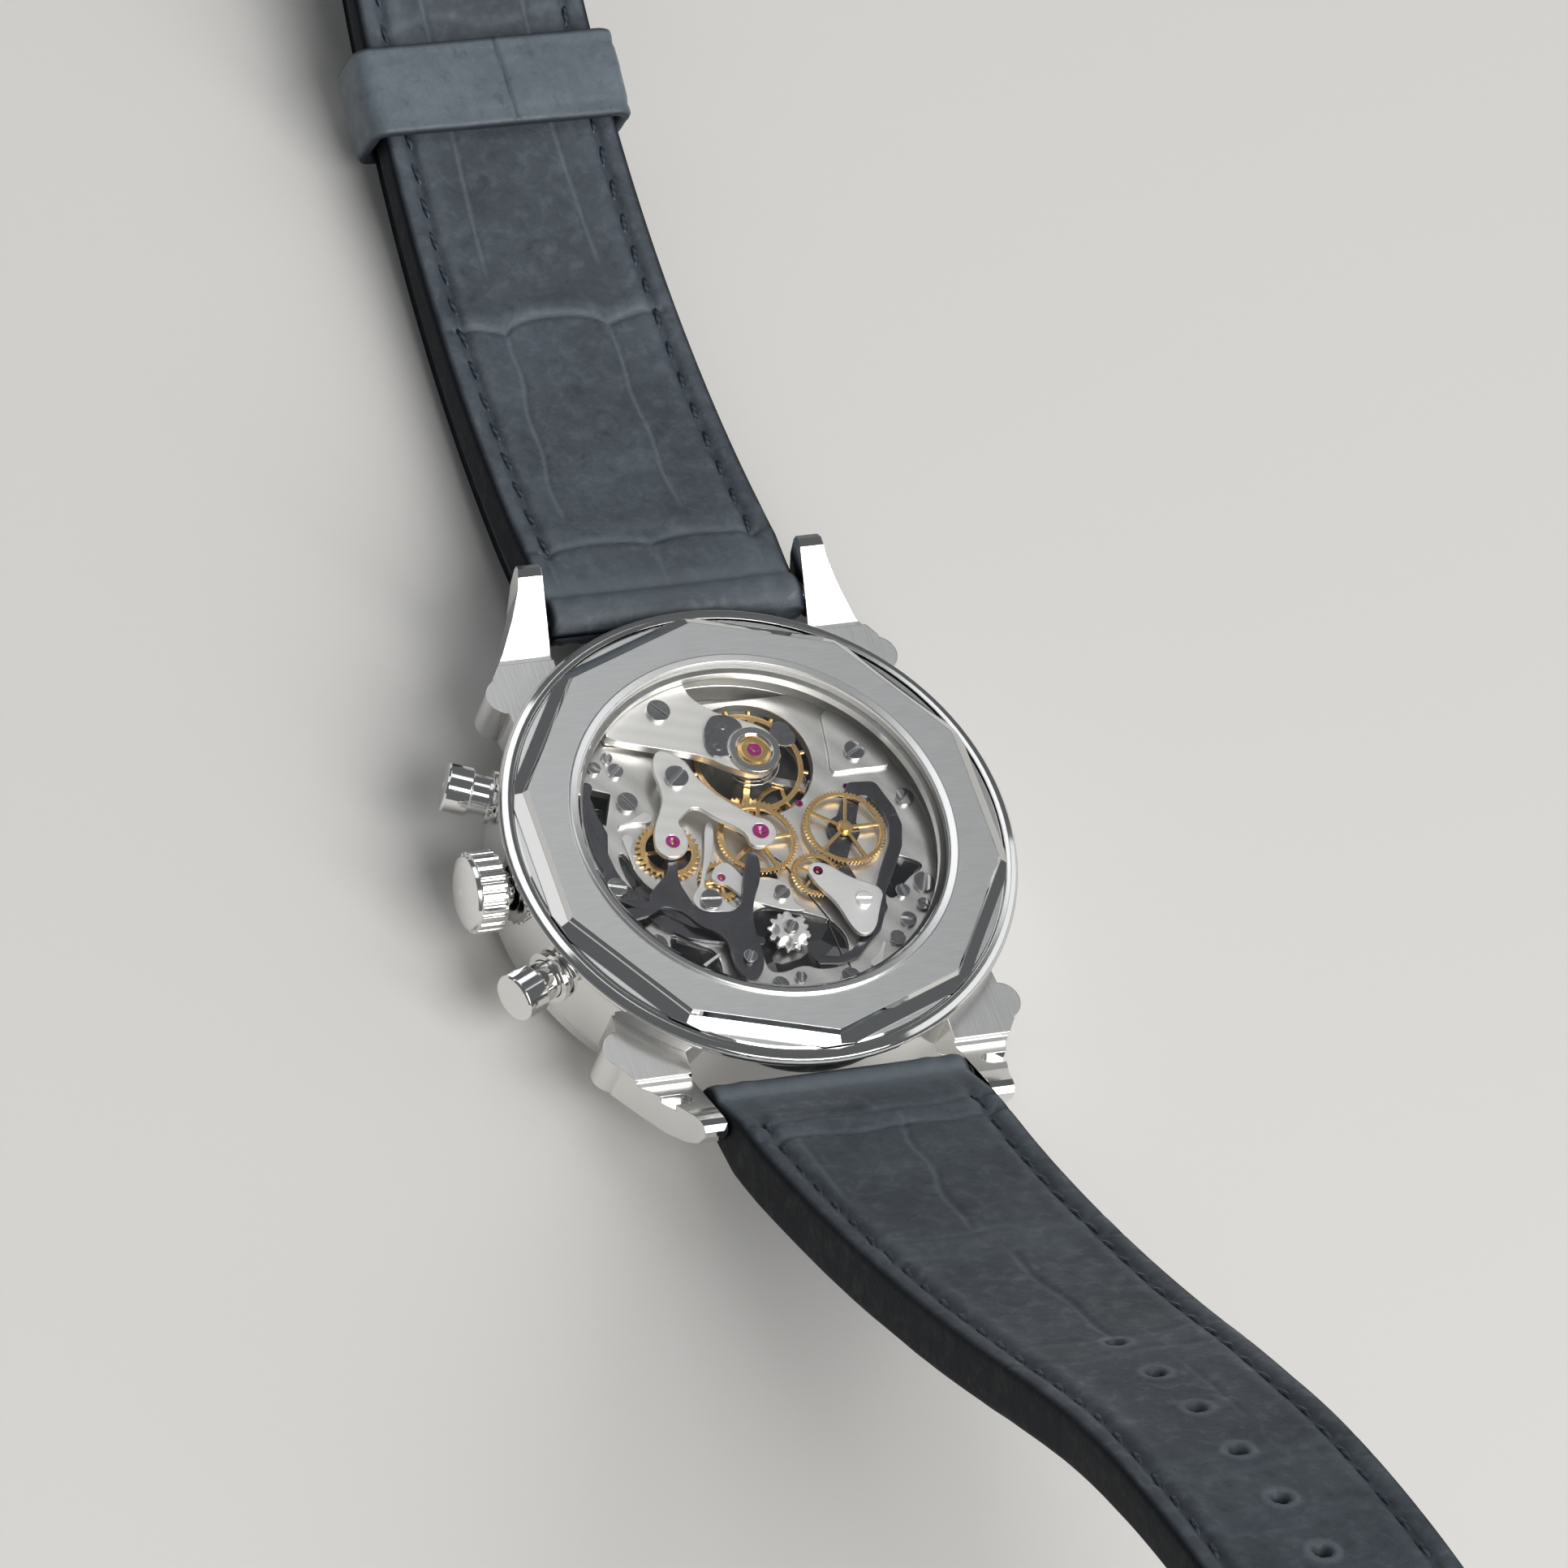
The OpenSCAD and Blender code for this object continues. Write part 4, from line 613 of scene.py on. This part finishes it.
BAR_R = 0.9
ROLL_R = 1.75
PAD_T, TIP_T = 4.4, 2.8
STITCH_IN = 1.85      # from the strap's edge to its stitches
EDGE_R = 0.55         # rounding of the painted edges
END_R = 1.5           # rolled end round the buckle's bar
BUCKLE_ARCS = [(8, 10), (12, 7), (14, 8), (14, 8), (10, 5), (17, -17)]
HOLE_ARCS = [(18, 8), (18, 5), (12, 3), (10, -3), (10, -7), (10, -5), (36, -20)]
bar_low, bar_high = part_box("spring_bars")
BAR_Z = (bar_low[2] + bar_high[2]) / 2 / MM
BAR_Y = bar_high[1] / MM - BAR_R


def lattice(u, v, seed):
    """Smooth random heights from -1 to 1 on a unit lattice."""
    rng = np.random.default_rng(seed)
    table = rng.uniform(-1, 1, (64, 64))
    iu, iv = np.floor(u).astype(int), np.floor(v).astype(int)
    fu, fv = u - iu, v - iv
    fu, fv = fu * fu * (3 - 2 * fu), fv * fv * (3 - 2 * fv)
    a, b = table[iu % 64, iv % 64], table[(iu + 1) % 64, iv % 64]
    c, d = table[iu % 64, (iv + 1) % 64], table[(iu + 1) % 64, (iv + 1) % 64]
    return (a * (1 - fu) + b * fu) * (1 - fv) + (c * (1 - fu) + d * fu) * fv


def rumple(s, x, seed, sizes):
    """A sum of smooth random heights, given as (size along, size across, height) in millimetres."""
    return sum(h * lattice(s / a + 7.3 * k, x / b + 3.1 * k, seed + k) for k, (a, b, h) in enumerate(sizes))


def bell(d, w):
    """A smooth bump one high and about w wide on each side."""
    return np.exp(-(d / w) ** 2)


def span(s, a, b, soft=0.8):
    """One between a and b, falling off softly at both ends."""
    return 1 / (1 + np.exp(-(s - a) / soft * 2)) * 1 / (1 + np.exp((s - b) / soft * 2))


def path(arcs, start, s):
    """Where the middle line of a chain of arcs lies at distance s: along, up and heading in radians."""
    along, up, head = np.zeros_like(s), np.zeros_like(s), np.zeros_like(s)
    y = z = gone = 0.0
    h = math.radians(start)
    for i, (length, bend) in enumerate(arcs):
        b = math.radians(bend)
        last = i == len(arcs) - 1
        here = (s >= gone - 1e-9) & ((s < gone + length) | last) if i else (s < gone + length)
        d = s[here] - gone
        turn = b * d / length
        ratio = np.where(abs(turn) < 1e-9, 1.0, np.sin(turn / 2) / np.where(abs(turn) < 1e-9, 1.0, turn / 2))
        along[here] = y + d * ratio * np.cos(h + turn / 2)
        up[here] = z + d * ratio * np.sin(h + turn / 2)
        head[here] = h + turn
        r = math.sin(b / 2) / (b / 2)
        y, z = y + length * r * math.cos(h + b / 2), z + length * r * math.sin(h + b / 2)
        h += b
        gone += length
    return along, up, head


def half_t(s, length):
    """Half the strap's thickness at distance s, with the rolled end round the spring bar."""
    pad = 1.2 + (PAD_T / 2 - 1.2) * s / 5
    taper = PAD_T / 2 + (TIP_T - PAD_T) / 2 * (s - 5) / (length - 5)
    flat = np.where(s < 5, pad, taper)
    flat = np.where(s < 0, 0, flat)
    roll = np.sqrt(np.maximum(ROLL_R ** 2 - s ** 2, 0.0))
    return np.maximum(flat, roll)


def folded(z, creases):
    """Sink each (depth, where) crease into a height, with a paler line along it, a painted highlight."""
    line = 0 * z
    for deep, where in creases:
        z = z - deep * where
        line = np.maximum(line, where * min(deep / 0.22, 1))
    return z, line


def buckle_relief(s, x):
    """The buckle half's worn lining: creases, long grooves, dents and the sunk stitch lines."""
    z = rumple(s, x, 11, [(9, 7, 0.07), (3.2, 2.6, 0.03), (1.3, 1.1, 0.012), (0.6, 0.5, 0.006)])
    scallop = 5.2 + 0.8 * np.abs(np.sin(x * math.pi / 8.05)) ** 0.6
    left = np.interp(s, [8.5, 27], [-5.75, -4.2]) + 0.15 * np.sin(s * 0.9)
    right = np.interp(s, [9, 27], [3.6, 3.75]) + 0.12 * np.sin(s * 0.8 + 1)
    u = np.abs((x + 0.3) / 4.1)
    middle, beside = 1.5 * np.sqrt(np.maximum(1 - u ** 2, 0)), 0.95 * np.sqrt(np.clip((u - 1) * 1.5, 0, 1))
    arch = 27.0 + np.where(u < 1, middle, beside)
    creases = [(0.22, bell(s - scallop, 0.26)), (0.20, bell(x - left, 0.22) * span(s, 8.5, 27)),
        (0.20, bell(x - right, 0.22) * span(s, 9, 27)),
        (0.28, bell(s - arch, 0.32) * span(x, -8.8, 8.8, 0.5)),
        (0.18, bell(x - np.interp(s, [32.6, 44.7], [-4.4, -3.9]), 0.22) * span(s, 32.6, 60)),
        (0.18, bell(x - np.interp(s, [32.6, 44.7], [4.6, 4.1]), 0.22) * span(s, 32.6, 60))]
    creases += [(0.12, bell(x - line, 0.22) * span(s, 1.5, 5)) for line in (-8.1, 0.2, 7.9)]
    bands = ((12.5, 0.04), (16.5, 0.03), (21.5, 0.04), (36, 0.05), (41, 0.04), (54, 0.12), (57.5, 0.10),
        (61, 0.10))
    creases += [(deep, bell(s - at - 0.5 * np.sin(x * 0.7 + at), 0.45)) for at, deep in bands]
    z += 0.16 * bell(s - 7.3, 1.1)
    z += 0.12 * bell(s - arch - 1.0, 0.7) - 0.16 * bell((s - 30.6) / 1.6, 1.0) * bell(x / 6.5, 1.0)
    return folded(z, creases)


def hole_relief(s, x):
    """The long half's worn lining: a double crease, a wavy groove and cross bands."""
    z = rumple(s, x, 41, [(10, 8, 0.08), (3.4, 2.6, 0.03), (1.4, 1.1, 0.012), (0.6, 0.5, 0.006)])
    wave = np.interp(s, [7, 15, 24], [-1.7, -0.75, 0.5]) + 0.25 * np.sin(s * 0.75)
    creases = [(0.20, bell(s - 5.9 - 0.2 * np.sin(x), 0.26)),
        (0.20, bell(s - 8.1 - 0.2 * np.sin(x * 0.8), 0.26)),
        (0.20, bell(x - wave, 0.24) * span(s, 7, 24.5)),
        (0.16, bell(x - np.interp(s, [9, 18], [7.7, 8.0]) + 1.2, 0.24) * span(s, 9, 18)),
        (0.18, bell(s - 25.2 - 0.3 * np.sin(x * 0.6), 0.36)),
        (0.16, bell(s - 28.8 - 0.3 * np.sin(x * 0.5 + 1), 0.36)),
        (0.20, bell(x + 0.4 - 0.2 * np.sin(s * 0.6), 0.24) * span(s, 29.5, 46)),
        (0.08, bell(x + 2.6, 0.24) * span(s, 52, 62))]
    creases += [(0.12, bell(s - at - 0.3 * np.sin(x * 0.6 + at), 0.36)) for at in (46.6, 49.8, 67, 69.2)]
    bands = ((12, 0.04), (17, 0.03), (21, 0.03), (33, 0.05), (38, 0.05), (76, 0.06), (84, 0.06), (92, 0.06))
    creases += [(deep, bell(s - at - 0.6 * np.sin(x * 0.55 + at), 0.45)) for at, deep in bands]
    z += 0.20 * bell(s - 6.9, 0.6) + 0.12 * bell(s - 27, 1.0)
    return folded(z, creases)


HOLE_AT = [47.8 + 6.3 * k for k in range(8)]
HOLE_R = 0.62


class Strap:
    """One half of the strap: its path, widths and surface, all in millimetres."""

    def __init__(self, arcs, start, length, wide, relief, turned, end):
        self.arcs, self.start, self.length, self.wide = arcs, start, length, wide
        self.relief, self.turned, self.end = relief, turned, end

    def place(self, s, x, d):
        """Points at distance s along, x across and d off the middle line, in metres."""
        along, up, head = path(self.arcs, self.start, s)
        y = BAR_Y + along - d * np.sin(head)
        z = BAR_Z + up + d * np.cos(head)
        points = np.stack([x, y, z], axis=-1) * MM
        if self.turned:
            points[..., 0] *= -1
            points[..., 1] *= -1
        return points

    def half_width(self, s):
        """Half the strap's width, read along the ground from the spring bar."""
        along = path(self.arcs, self.start, s)[0]
        return np.interp(along, self.wide[0], self.wide[1])

    def stitch_x(self, s, side):
        """Where a row of stitches runs across the strap."""
        return side * (self.half_width(s) - STITCH_IN)

    def top(self, s, x):
        """Height of the lining above the middle line."""
        half = self.half_width(s)
        h = half_t(s, self.length)
        room = half - np.abs(x)
        z = h + self.relief(s, x)[0] * np.clip(room / 0.8, 0, 1) * np.clip((s + 1.5) / 2.5, 0.15, 1)
        z -= 0.30 * bell(room - STITCH_IN, 0.34) * span(s, 5, self.end - 3, 0.5)
        z += 0.10 * bell(room - 2.9, 0.6) + 0.08 * bell(room - 0.9, 0.4)
        return z


def ring_layout(n_top, n_corner, n_side, n_under):
    """One turn round a flat section: how each point hangs on the box corner and on the corner's arc."""
    rows = [(f, 0, 1, 1) for f in np.linspace(-1, 1, n_top)]
    for side in (1, -1):
        for a in np.radians(np.linspace(90, 0, n_corner)[1:]):
            b = a if side > 0 else math.pi / 2 - a
            rows.append((side, side * math.cos(b), side, side * math.sin(b)))
        rows += [(side, side, side * f, 0) for f in np.linspace(1, -1, n_side)[1:]]
        for a in np.radians(np.linspace(0, 90, n_corner)[1:]):
            rows.append((side, side * math.cos(a), -side, -side * math.sin(a)))
        if side > 0:
            rows += [(f, 0, -1, -1) for f in np.linspace(1, -1, n_under)[1:-1]]
    return np.array(rows[:-1], float).T


def mesh_object(name, rings, material, body, flow=None, wear_and_light=None, closed=False):
    """A mesh from a grid of points: rings follow one another, and each ring is a closed turn.
    Open rows of rings end in flat caps, and closed rows join the last ring to the first."""
    n, k = rings.shape[:2]
    points = rings.reshape(-1, 3)
    rows = n if closed else n - 1
    i, j = np.meshgrid(np.arange(rows), np.arange(k), indexing="ij")
    a, b = i * k + j, i * k + (j + 1) % k
    c, d = ((i + 1) % n) * k + (j + 1) % k, ((i + 1) % n) * k + j
    quads = np.stack([a, b, c, d], axis=-1).reshape(-1, 4)
    middle = points.mean(axis=0)
    p = points[quads] - middle
    volume = np.einsum("ij,ij->i", p[:, 0], np.cross(p[:, 1], p[:, 2])).sum()
    volume += np.einsum("ij,ij->i", p[:, 0], np.cross(p[:, 2], p[:, 3])).sum()
    if volume < 0:
        quads = quads[:, ::-1]
    faces = quads.tolist()
    if not closed:
        first, last = list(range(k)), list(range((n - 1) * k, n * k))
        faces += [first[::-1], last] if volume > 0 else [first, last[::-1]]
    mesh = bpy.data.meshes.new(name)
    mesh.from_pydata(points.tolist(), [], faces)
    mesh.polygons.foreach_set("use_smooth", [True] * len(faces))
    for label, values in (("flow", flow), ("wear_and_light", wear_and_light)):
        if values is not None:
            layer = mesh.attributes.new(label, "FLOAT_VECTOR", "POINT")
            layer.data.foreach_set("vector", np.ascontiguousarray(values.reshape(-1), dtype=np.float32))
    mesh.update()
    mesh.materials.append(material)
    obj = bpy.data.objects.new(name, mesh)
    bpy.context.scene.collection.objects.link(obj)
    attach(obj, body)
    return obj


def strap_mesh(name, strap, material, body, node_name, holes=(), slit=0.0):
    """A strap half: fine rings along it, a worn lining, rounded painted edges and a plainer outer face.
    The slit makes room for the tang, and holes are deep pits from both faces."""
    fx, ox, fz, oz = ring_layout(97, 5, 4, 37)
    start = -ROLL_R + 0.02
    rows = int((strap.end - start) / 0.27)
    s_row = start + (strap.end - start) * np.linspace(0, 1, rows)
    s = np.repeat(s_row[:, None], len(fx), axis=1)
    half = strap.half_width(s)
    h = half_t(s, strap.length)
    if slit:
        rolled = np.sqrt(np.maximum(END_R ** 2 - (s - strap.end + END_R) ** 2, 0.02))
        h = np.where(s > strap.end - 2.9, rolled, h)
        h = np.where((s > strap.end - 5) & (s <= strap.end - 2.9), np.maximum(h * 0.8, 1.2), h)
    r = np.minimum(np.minimum(EDGE_R, h * 0.75), half * 0.5)
    x = fx * (half - r) + ox * r
    above = (fz > 0.99) & (oz > 0.5)
    below = (fz < -0.99) & (oz < -0.5)
    d = fz * (h - r) + oz * r
    if slit:
        pull = np.clip((s - (strap.end - 8)) / 8, 0, 1)
        near = np.clip((slit - np.abs(x)) / 0.25, 0, 1)
        s = s - pull * near * 6.5
    lift = strap.top(s, x) - half_t(s, strap.length)
    relief = np.where(above, lift * np.clip(h / 1.4, 0.2, 1), 0)
    under = rumple(s, x, 5, [(8, 6, 0.06), (2.4, 2.0, 0.03)])
    under = under - 0.25 * bell(half - np.abs(x) - STITCH_IN, 0.34)
    d = d + relief * np.clip(oz, 0, 1) - np.where(below, under, 0) * np.clip(h / 1.4, 0.2, 1)
    rim = np.clip((np.abs(x) - (half - 0.5)) / 0.3, 0, 1)
    pit = np.zeros_like(s)
    lip_and_highlight = np.zeros_like(s)
    for at in holes:
        away = np.hypot(s - at, x)
        pit = np.maximum(pit, 1 - np.clip((away - HOLE_R + 0.16) / 0.16, 0, 1))
        # A raised lip round each hole, also painted lighter as a painted highlight.
        lip_and_highlight = np.maximum(lip_and_highlight, bell(away - HOLE_R - 0.45, 0.28))
    d = np.where(above | below, d * (1 - 0.93 * pit) + np.sign(d) * 0.10 * lip_and_highlight * (1 - pit), d)
    # Painted highlight: a pale line along each marked crease.
    line = np.where(above & (np.abs(x) < half - 1.2), strap.relief(s, x)[1], 0)
    # Painted sheen: the roll by the spring bar is painted lighter.
    roll_sheen = 0.85 * bell(s - 0.9, 1.7) * above
    # Raised relief is rubbed lighter, and sunk relief is painted shade, darker.
    worn = np.clip(lift * 1.4, -0.5, 0.3) * above * (1 - line)
    rub_and_light = worn + 0.75 * line + roll_sheen + 0.8 * lip_and_highlight * (1 - pit)
    flow = np.stack([s, x, d], axis=-1) * MM
    # The holes' pits are marked for painted shade, near black.
    wear_and_light = np.stack([np.clip(rub_and_light, -1, 1), rim, pit * (above | below)], axis=-1)
    obj = mesh_object(name, strap.place(s, x, d), material, body, flow, wear_and_light)
    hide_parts(node_name)
    return obj


def stitches(name, strap, runs, body):
    """Short slanted threads in the sunk lines: each is a little spindle bent over the leather."""
    turn = np.linspace(0, 2 * math.pi, 7)[:-1]
    along = np.linspace(-1, 1, 6)
    shape = np.sqrt(np.maximum(1 - np.abs(along) ** 3, 0.03))
    all_points, all_faces, all_flow = [], [], []
    base = 0
    k = len(turn)
    quads = [[i * k + j, i * k + (j + 1) % k, (i + 1) * k + (j + 1) % k, (i + 1) * k + j]
        for i in range(len(along) - 1) for j in range(k)]
    caps = [list(range(k))[::-1], list(range((len(along) - 1) * k, len(along) * k))]
    for side, first, last, pitch in runs:
        for at in np.arange(first, last, pitch):
            s = at + along[:, None] * 1.08 + 0 * turn
            x0 = strap.stitch_x(np.array([at]), side)[0]
            x = x0 + along[:, None] * 0.16 * side + 0.24 * shape[:, None] * np.cos(turn)
            seat = strap.top(np.full(1, at), np.full(1, x0))[0] + 0.10 - 0.16 * along[:, None] ** 2
            d = seat + 0.20 * shape[:, None] * np.sin(turn) + 0 * s
            all_points.append(strap.place(s, x, d).reshape(-1, 3))
            all_flow.append((np.stack([s, x, d], axis=-1) * MM).reshape(-1, 3))
            all_faces += [[v + base for v in f] for f in quads + caps]
            base += k * len(along)
    points = np.concatenate(all_points)
    mesh = bpy.data.meshes.new(name)
    mesh.from_pydata(points.tolist(), [], all_faces)
    mesh.polygons.foreach_set("use_smooth", [True] * len(all_faces))
    layer = mesh.attributes.new("flow", "FLOAT_VECTOR", "POINT")
    flow = np.concatenate(all_flow).reshape(-1)
    layer.data.foreach_set("vector", np.ascontiguousarray(flow, dtype=np.float32))
    mesh.update()
    mesh.materials.append(THREAD)
    obj = bpy.data.objects.new(name, mesh)
    bpy.context.scene.collection.objects.link(obj)
    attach(obj, body)
    return obj


def loop_path(hw, hh, r, count):
    """Points round a rounded box with their outward directions, evenly spaced by corner and side."""
    parts = []
    corners = ((hw - r, hh - r, 0), (r - hw, hh - r, 90), (r - hw, r - hh, 180), (hw - r, r - hh, 270))
    for cx, cz, a0 in corners:
        for a in np.radians(np.linspace(a0, a0 + 90, 9)):
            parts.append((cx + r * math.cos(a), cz + r * math.sin(a), math.cos(a), math.sin(a)))
    ring = np.array(parts + parts[:1])
    gaps = np.hypot(*np.diff(ring[:, :2], axis=0).T)
    total = np.concatenate([[0], np.cumsum(gaps)])
    at = np.linspace(0, total[-1], count, endpoint=False)
    out = np.stack([np.interp(at, total, ring[:, c]) for c in range(4)], axis=-1)
    out[:, 2:] /= np.linalg.norm(out[:, 2:], axis=1)[:, None]
    return out


def keeper_mesh(name, strap, at, length, wall, room, material, body, node_name, seed):
    """A leather loop round the strap: a rounded band swept round a rounded box, a little soft and uneven."""
    hw = float(strap.half_width(np.array([float(at)]))[0]) + room + wall / 2
    hh = float(half_t(np.array([float(at)]), strap.length)[0]) + room + wall / 2
    ring = loop_path(hw, hh, 0.9, 220)
    layout = loop_path(length / 2, wall / 2, 0.34, 44)
    b = layout[None, :, 0]
    a = layout[None, :, 1]
    turn = np.arange(len(ring))[:, None] * 0.24
    outer = layout[None, :, 1] > 0.2
    soft = rumple(turn * 1.0, b + 9, seed, [(2.5, 2.2, 0.05), (0.9, 0.9, 0.025)])
    a = a + np.where(outer, soft + 0.07 * bell(b, 2.4) - 0.10 * bell(np.abs(b) - length / 2 + 1.1, 0.25), 0)
    join = bell(turn - 44 * 0.24 - 0.08 * b, 0.16) * outer
    a = a - 0.16 * join
    x = ring[:, 0:1] + ring[:, 2:3] * a
    d = ring[:, 1:2] + ring[:, 3:4] * a
    s = float(at) + b + 0 * x
    points = strap.place(np.full_like(s, float(at)), x, d)
    heading = path(strap.arcs, strap.start, np.array([float(at)]))[2][0]
    step = np.array([0, math.cos(heading), math.sin(heading)]) * MM
    points = points + b[..., None] * step
    flow = np.stack([s, turn + 0 * b, a], axis=-1) * MM
    rim = np.clip((np.abs(b) - length / 2 + 0.35) / 0.25, 0, 1) + 0 * x
    # Soft bumps come out lighter and their dips darker, painted shade; the join is a darker mark.
    wear_and_light = np.stack([np.clip(soft * 3, -1, 1) - join, rim, 0 * x], axis=-1)
    obj = mesh_object(name, points, material, body, flow, wear_and_light, closed=True)
    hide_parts(node_name)
    return obj


# Leather shades: deep, the painted shade in creases and holes; base; lighter patches; rubbed ridges, also
# used for painted highlights and sheen; painted edge
SLATE = ((0.012, 0.016, 0.022), (0.047, 0.058, 0.073), (0.078, 0.095, 0.114), (0.16, 0.19, 0.215),
    (0.007, 0.009, 0.013))
PALE_SLATE = ((0.030, 0.038, 0.048), (0.096, 0.119, 0.142), (0.140, 0.172, 0.200), (0.18, 0.215, 0.24),
    (0.030, 0.037, 0.046))
LEATHER = leather_material("slate_leather", SLATE, 0.55)
LOOP_LEATHER = leather_material("slate_loop_leather", PALE_SLATE, 0.42)
THREAD = thread_material()

buckle_half = Strap(BUCKLE_ARCS, -21, 74, ([0, 8, 68, 80], [9.9, 9.9, 8.9, 8.9]), buckle_relief, False, 76.45)
hole_half = Strap(HOLE_ARCS, 27, 114, ([0, 8, 32, 46, 90, 92.5, 94.5, 96, 97],
    [9.9, 9.9, 9.1, 8.5, 8.5, 7.8, 6.4, 4.4, 2.6]), hole_relief, True, 113.9)

strap_mesh("leather_buckle_half", buckle_half, LEATHER, "strap_buckle_half", "strap_buckle_side", slit=1.6)
strap_mesh("leather_hole_half", hole_half, LEATHER, "strap_hole_half", "strap_hole_side", holes=HOLE_AT)
stitches("thread_buckle_half", buckle_half, [(-1, 6.5, 70, 2.95), (1, 6.5, 70, 2.95)], "strap_buckle_half")
stitches("thread_hole_half", hole_half, [(-1, 6.5, 104, 2.95), (1, 6.5, 104, 2.95)], "strap_hole_half")
keeper_mesh("leather_sliding_keeper", buckle_half, 48.5, 7.2, 0.9, 0.35, LOOP_LEATHER,
    "sliding_keeper", "sliding_keeper", 71)
keeper_mesh("leather_fixed_keeper", buckle_half, 64.5, 5.8, 0.9, 0.3, LOOP_LEATHER,
    "strap_buckle_half", "fixed_keeper", 81)


# ---- stage and light ----

def floor():
    """A wide pale sweep just under the part."""
    low = min(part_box(name)[0][2] for names in LOOKS.values() for name in names)
    size = 3.0
    mesh = bpy.data.meshes.new("floor")
    z = low - 0.00002
    corners = [(-size, -size, z), (size, -size, z), (size, size, z), (-size, size, z)]
    mesh.from_pydata(corners, [], [(0, 1, 2, 3)])
    mesh.materials.append(floor_material())
    obj = bpy.data.objects.new("floor", mesh)
    bpy.context.scene.collection.objects.link(obj)


def panel(name, azimuth, elevation, distance, width, height, power, tint=(1, 1, 1)):
    """A soft light panel that looks at the watch from a direction."""
    a, e = math.radians(azimuth), math.radians(elevation)
    place = Vector((math.cos(e) * math.cos(a), math.cos(e) * math.sin(a), math.sin(e))) * distance
    data = bpy.data.lights.new(name, "AREA")
    data.shape = "RECTANGLE"
    data.size, data.size_y = width, height
    data.energy = power
    data.color = tint
    obj = bpy.data.objects.new(name, data)
    obj.location = place
    obj.rotation_euler = (-place).to_track_quat("-Z", "Y").to_euler()
    bpy.context.scene.collection.objects.link(obj)


def lights():
    """A tall bright panel on the buckle's right, a dimmer one overhead behind, and a dark grey room."""
    world = bpy.data.worlds.new("studio")
    world.use_nodes = True
    world.node_tree.nodes["Background"].inputs["Color"].default_value = (0.92, 0.96, 1.0, 1)
    world.node_tree.nodes["Background"].inputs["Strength"].default_value = 0.13
    bpy.context.scene.world = world
    panel("key_panel", -70, 40, 1.2, 0.92, 1.2, 18.0, (1.0, 0.99, 0.97))
    panel("back_panel", 88, 58, 1.3, 0.8, 0.9, 2.6, (0.97, 0.98, 1.0))
    panel("right_panel", 14, 42, 1.3, 0.5, 0.8, 1.1, (0.97, 0.98, 1.0))
    panel("left_panel", 142, 36, 1.3, 0.45, 0.7, 0.8, (1.0, 1.0, 1.0))


floor()
lights()
bpy.context.scene.view_settings.view_transform = "Standard"
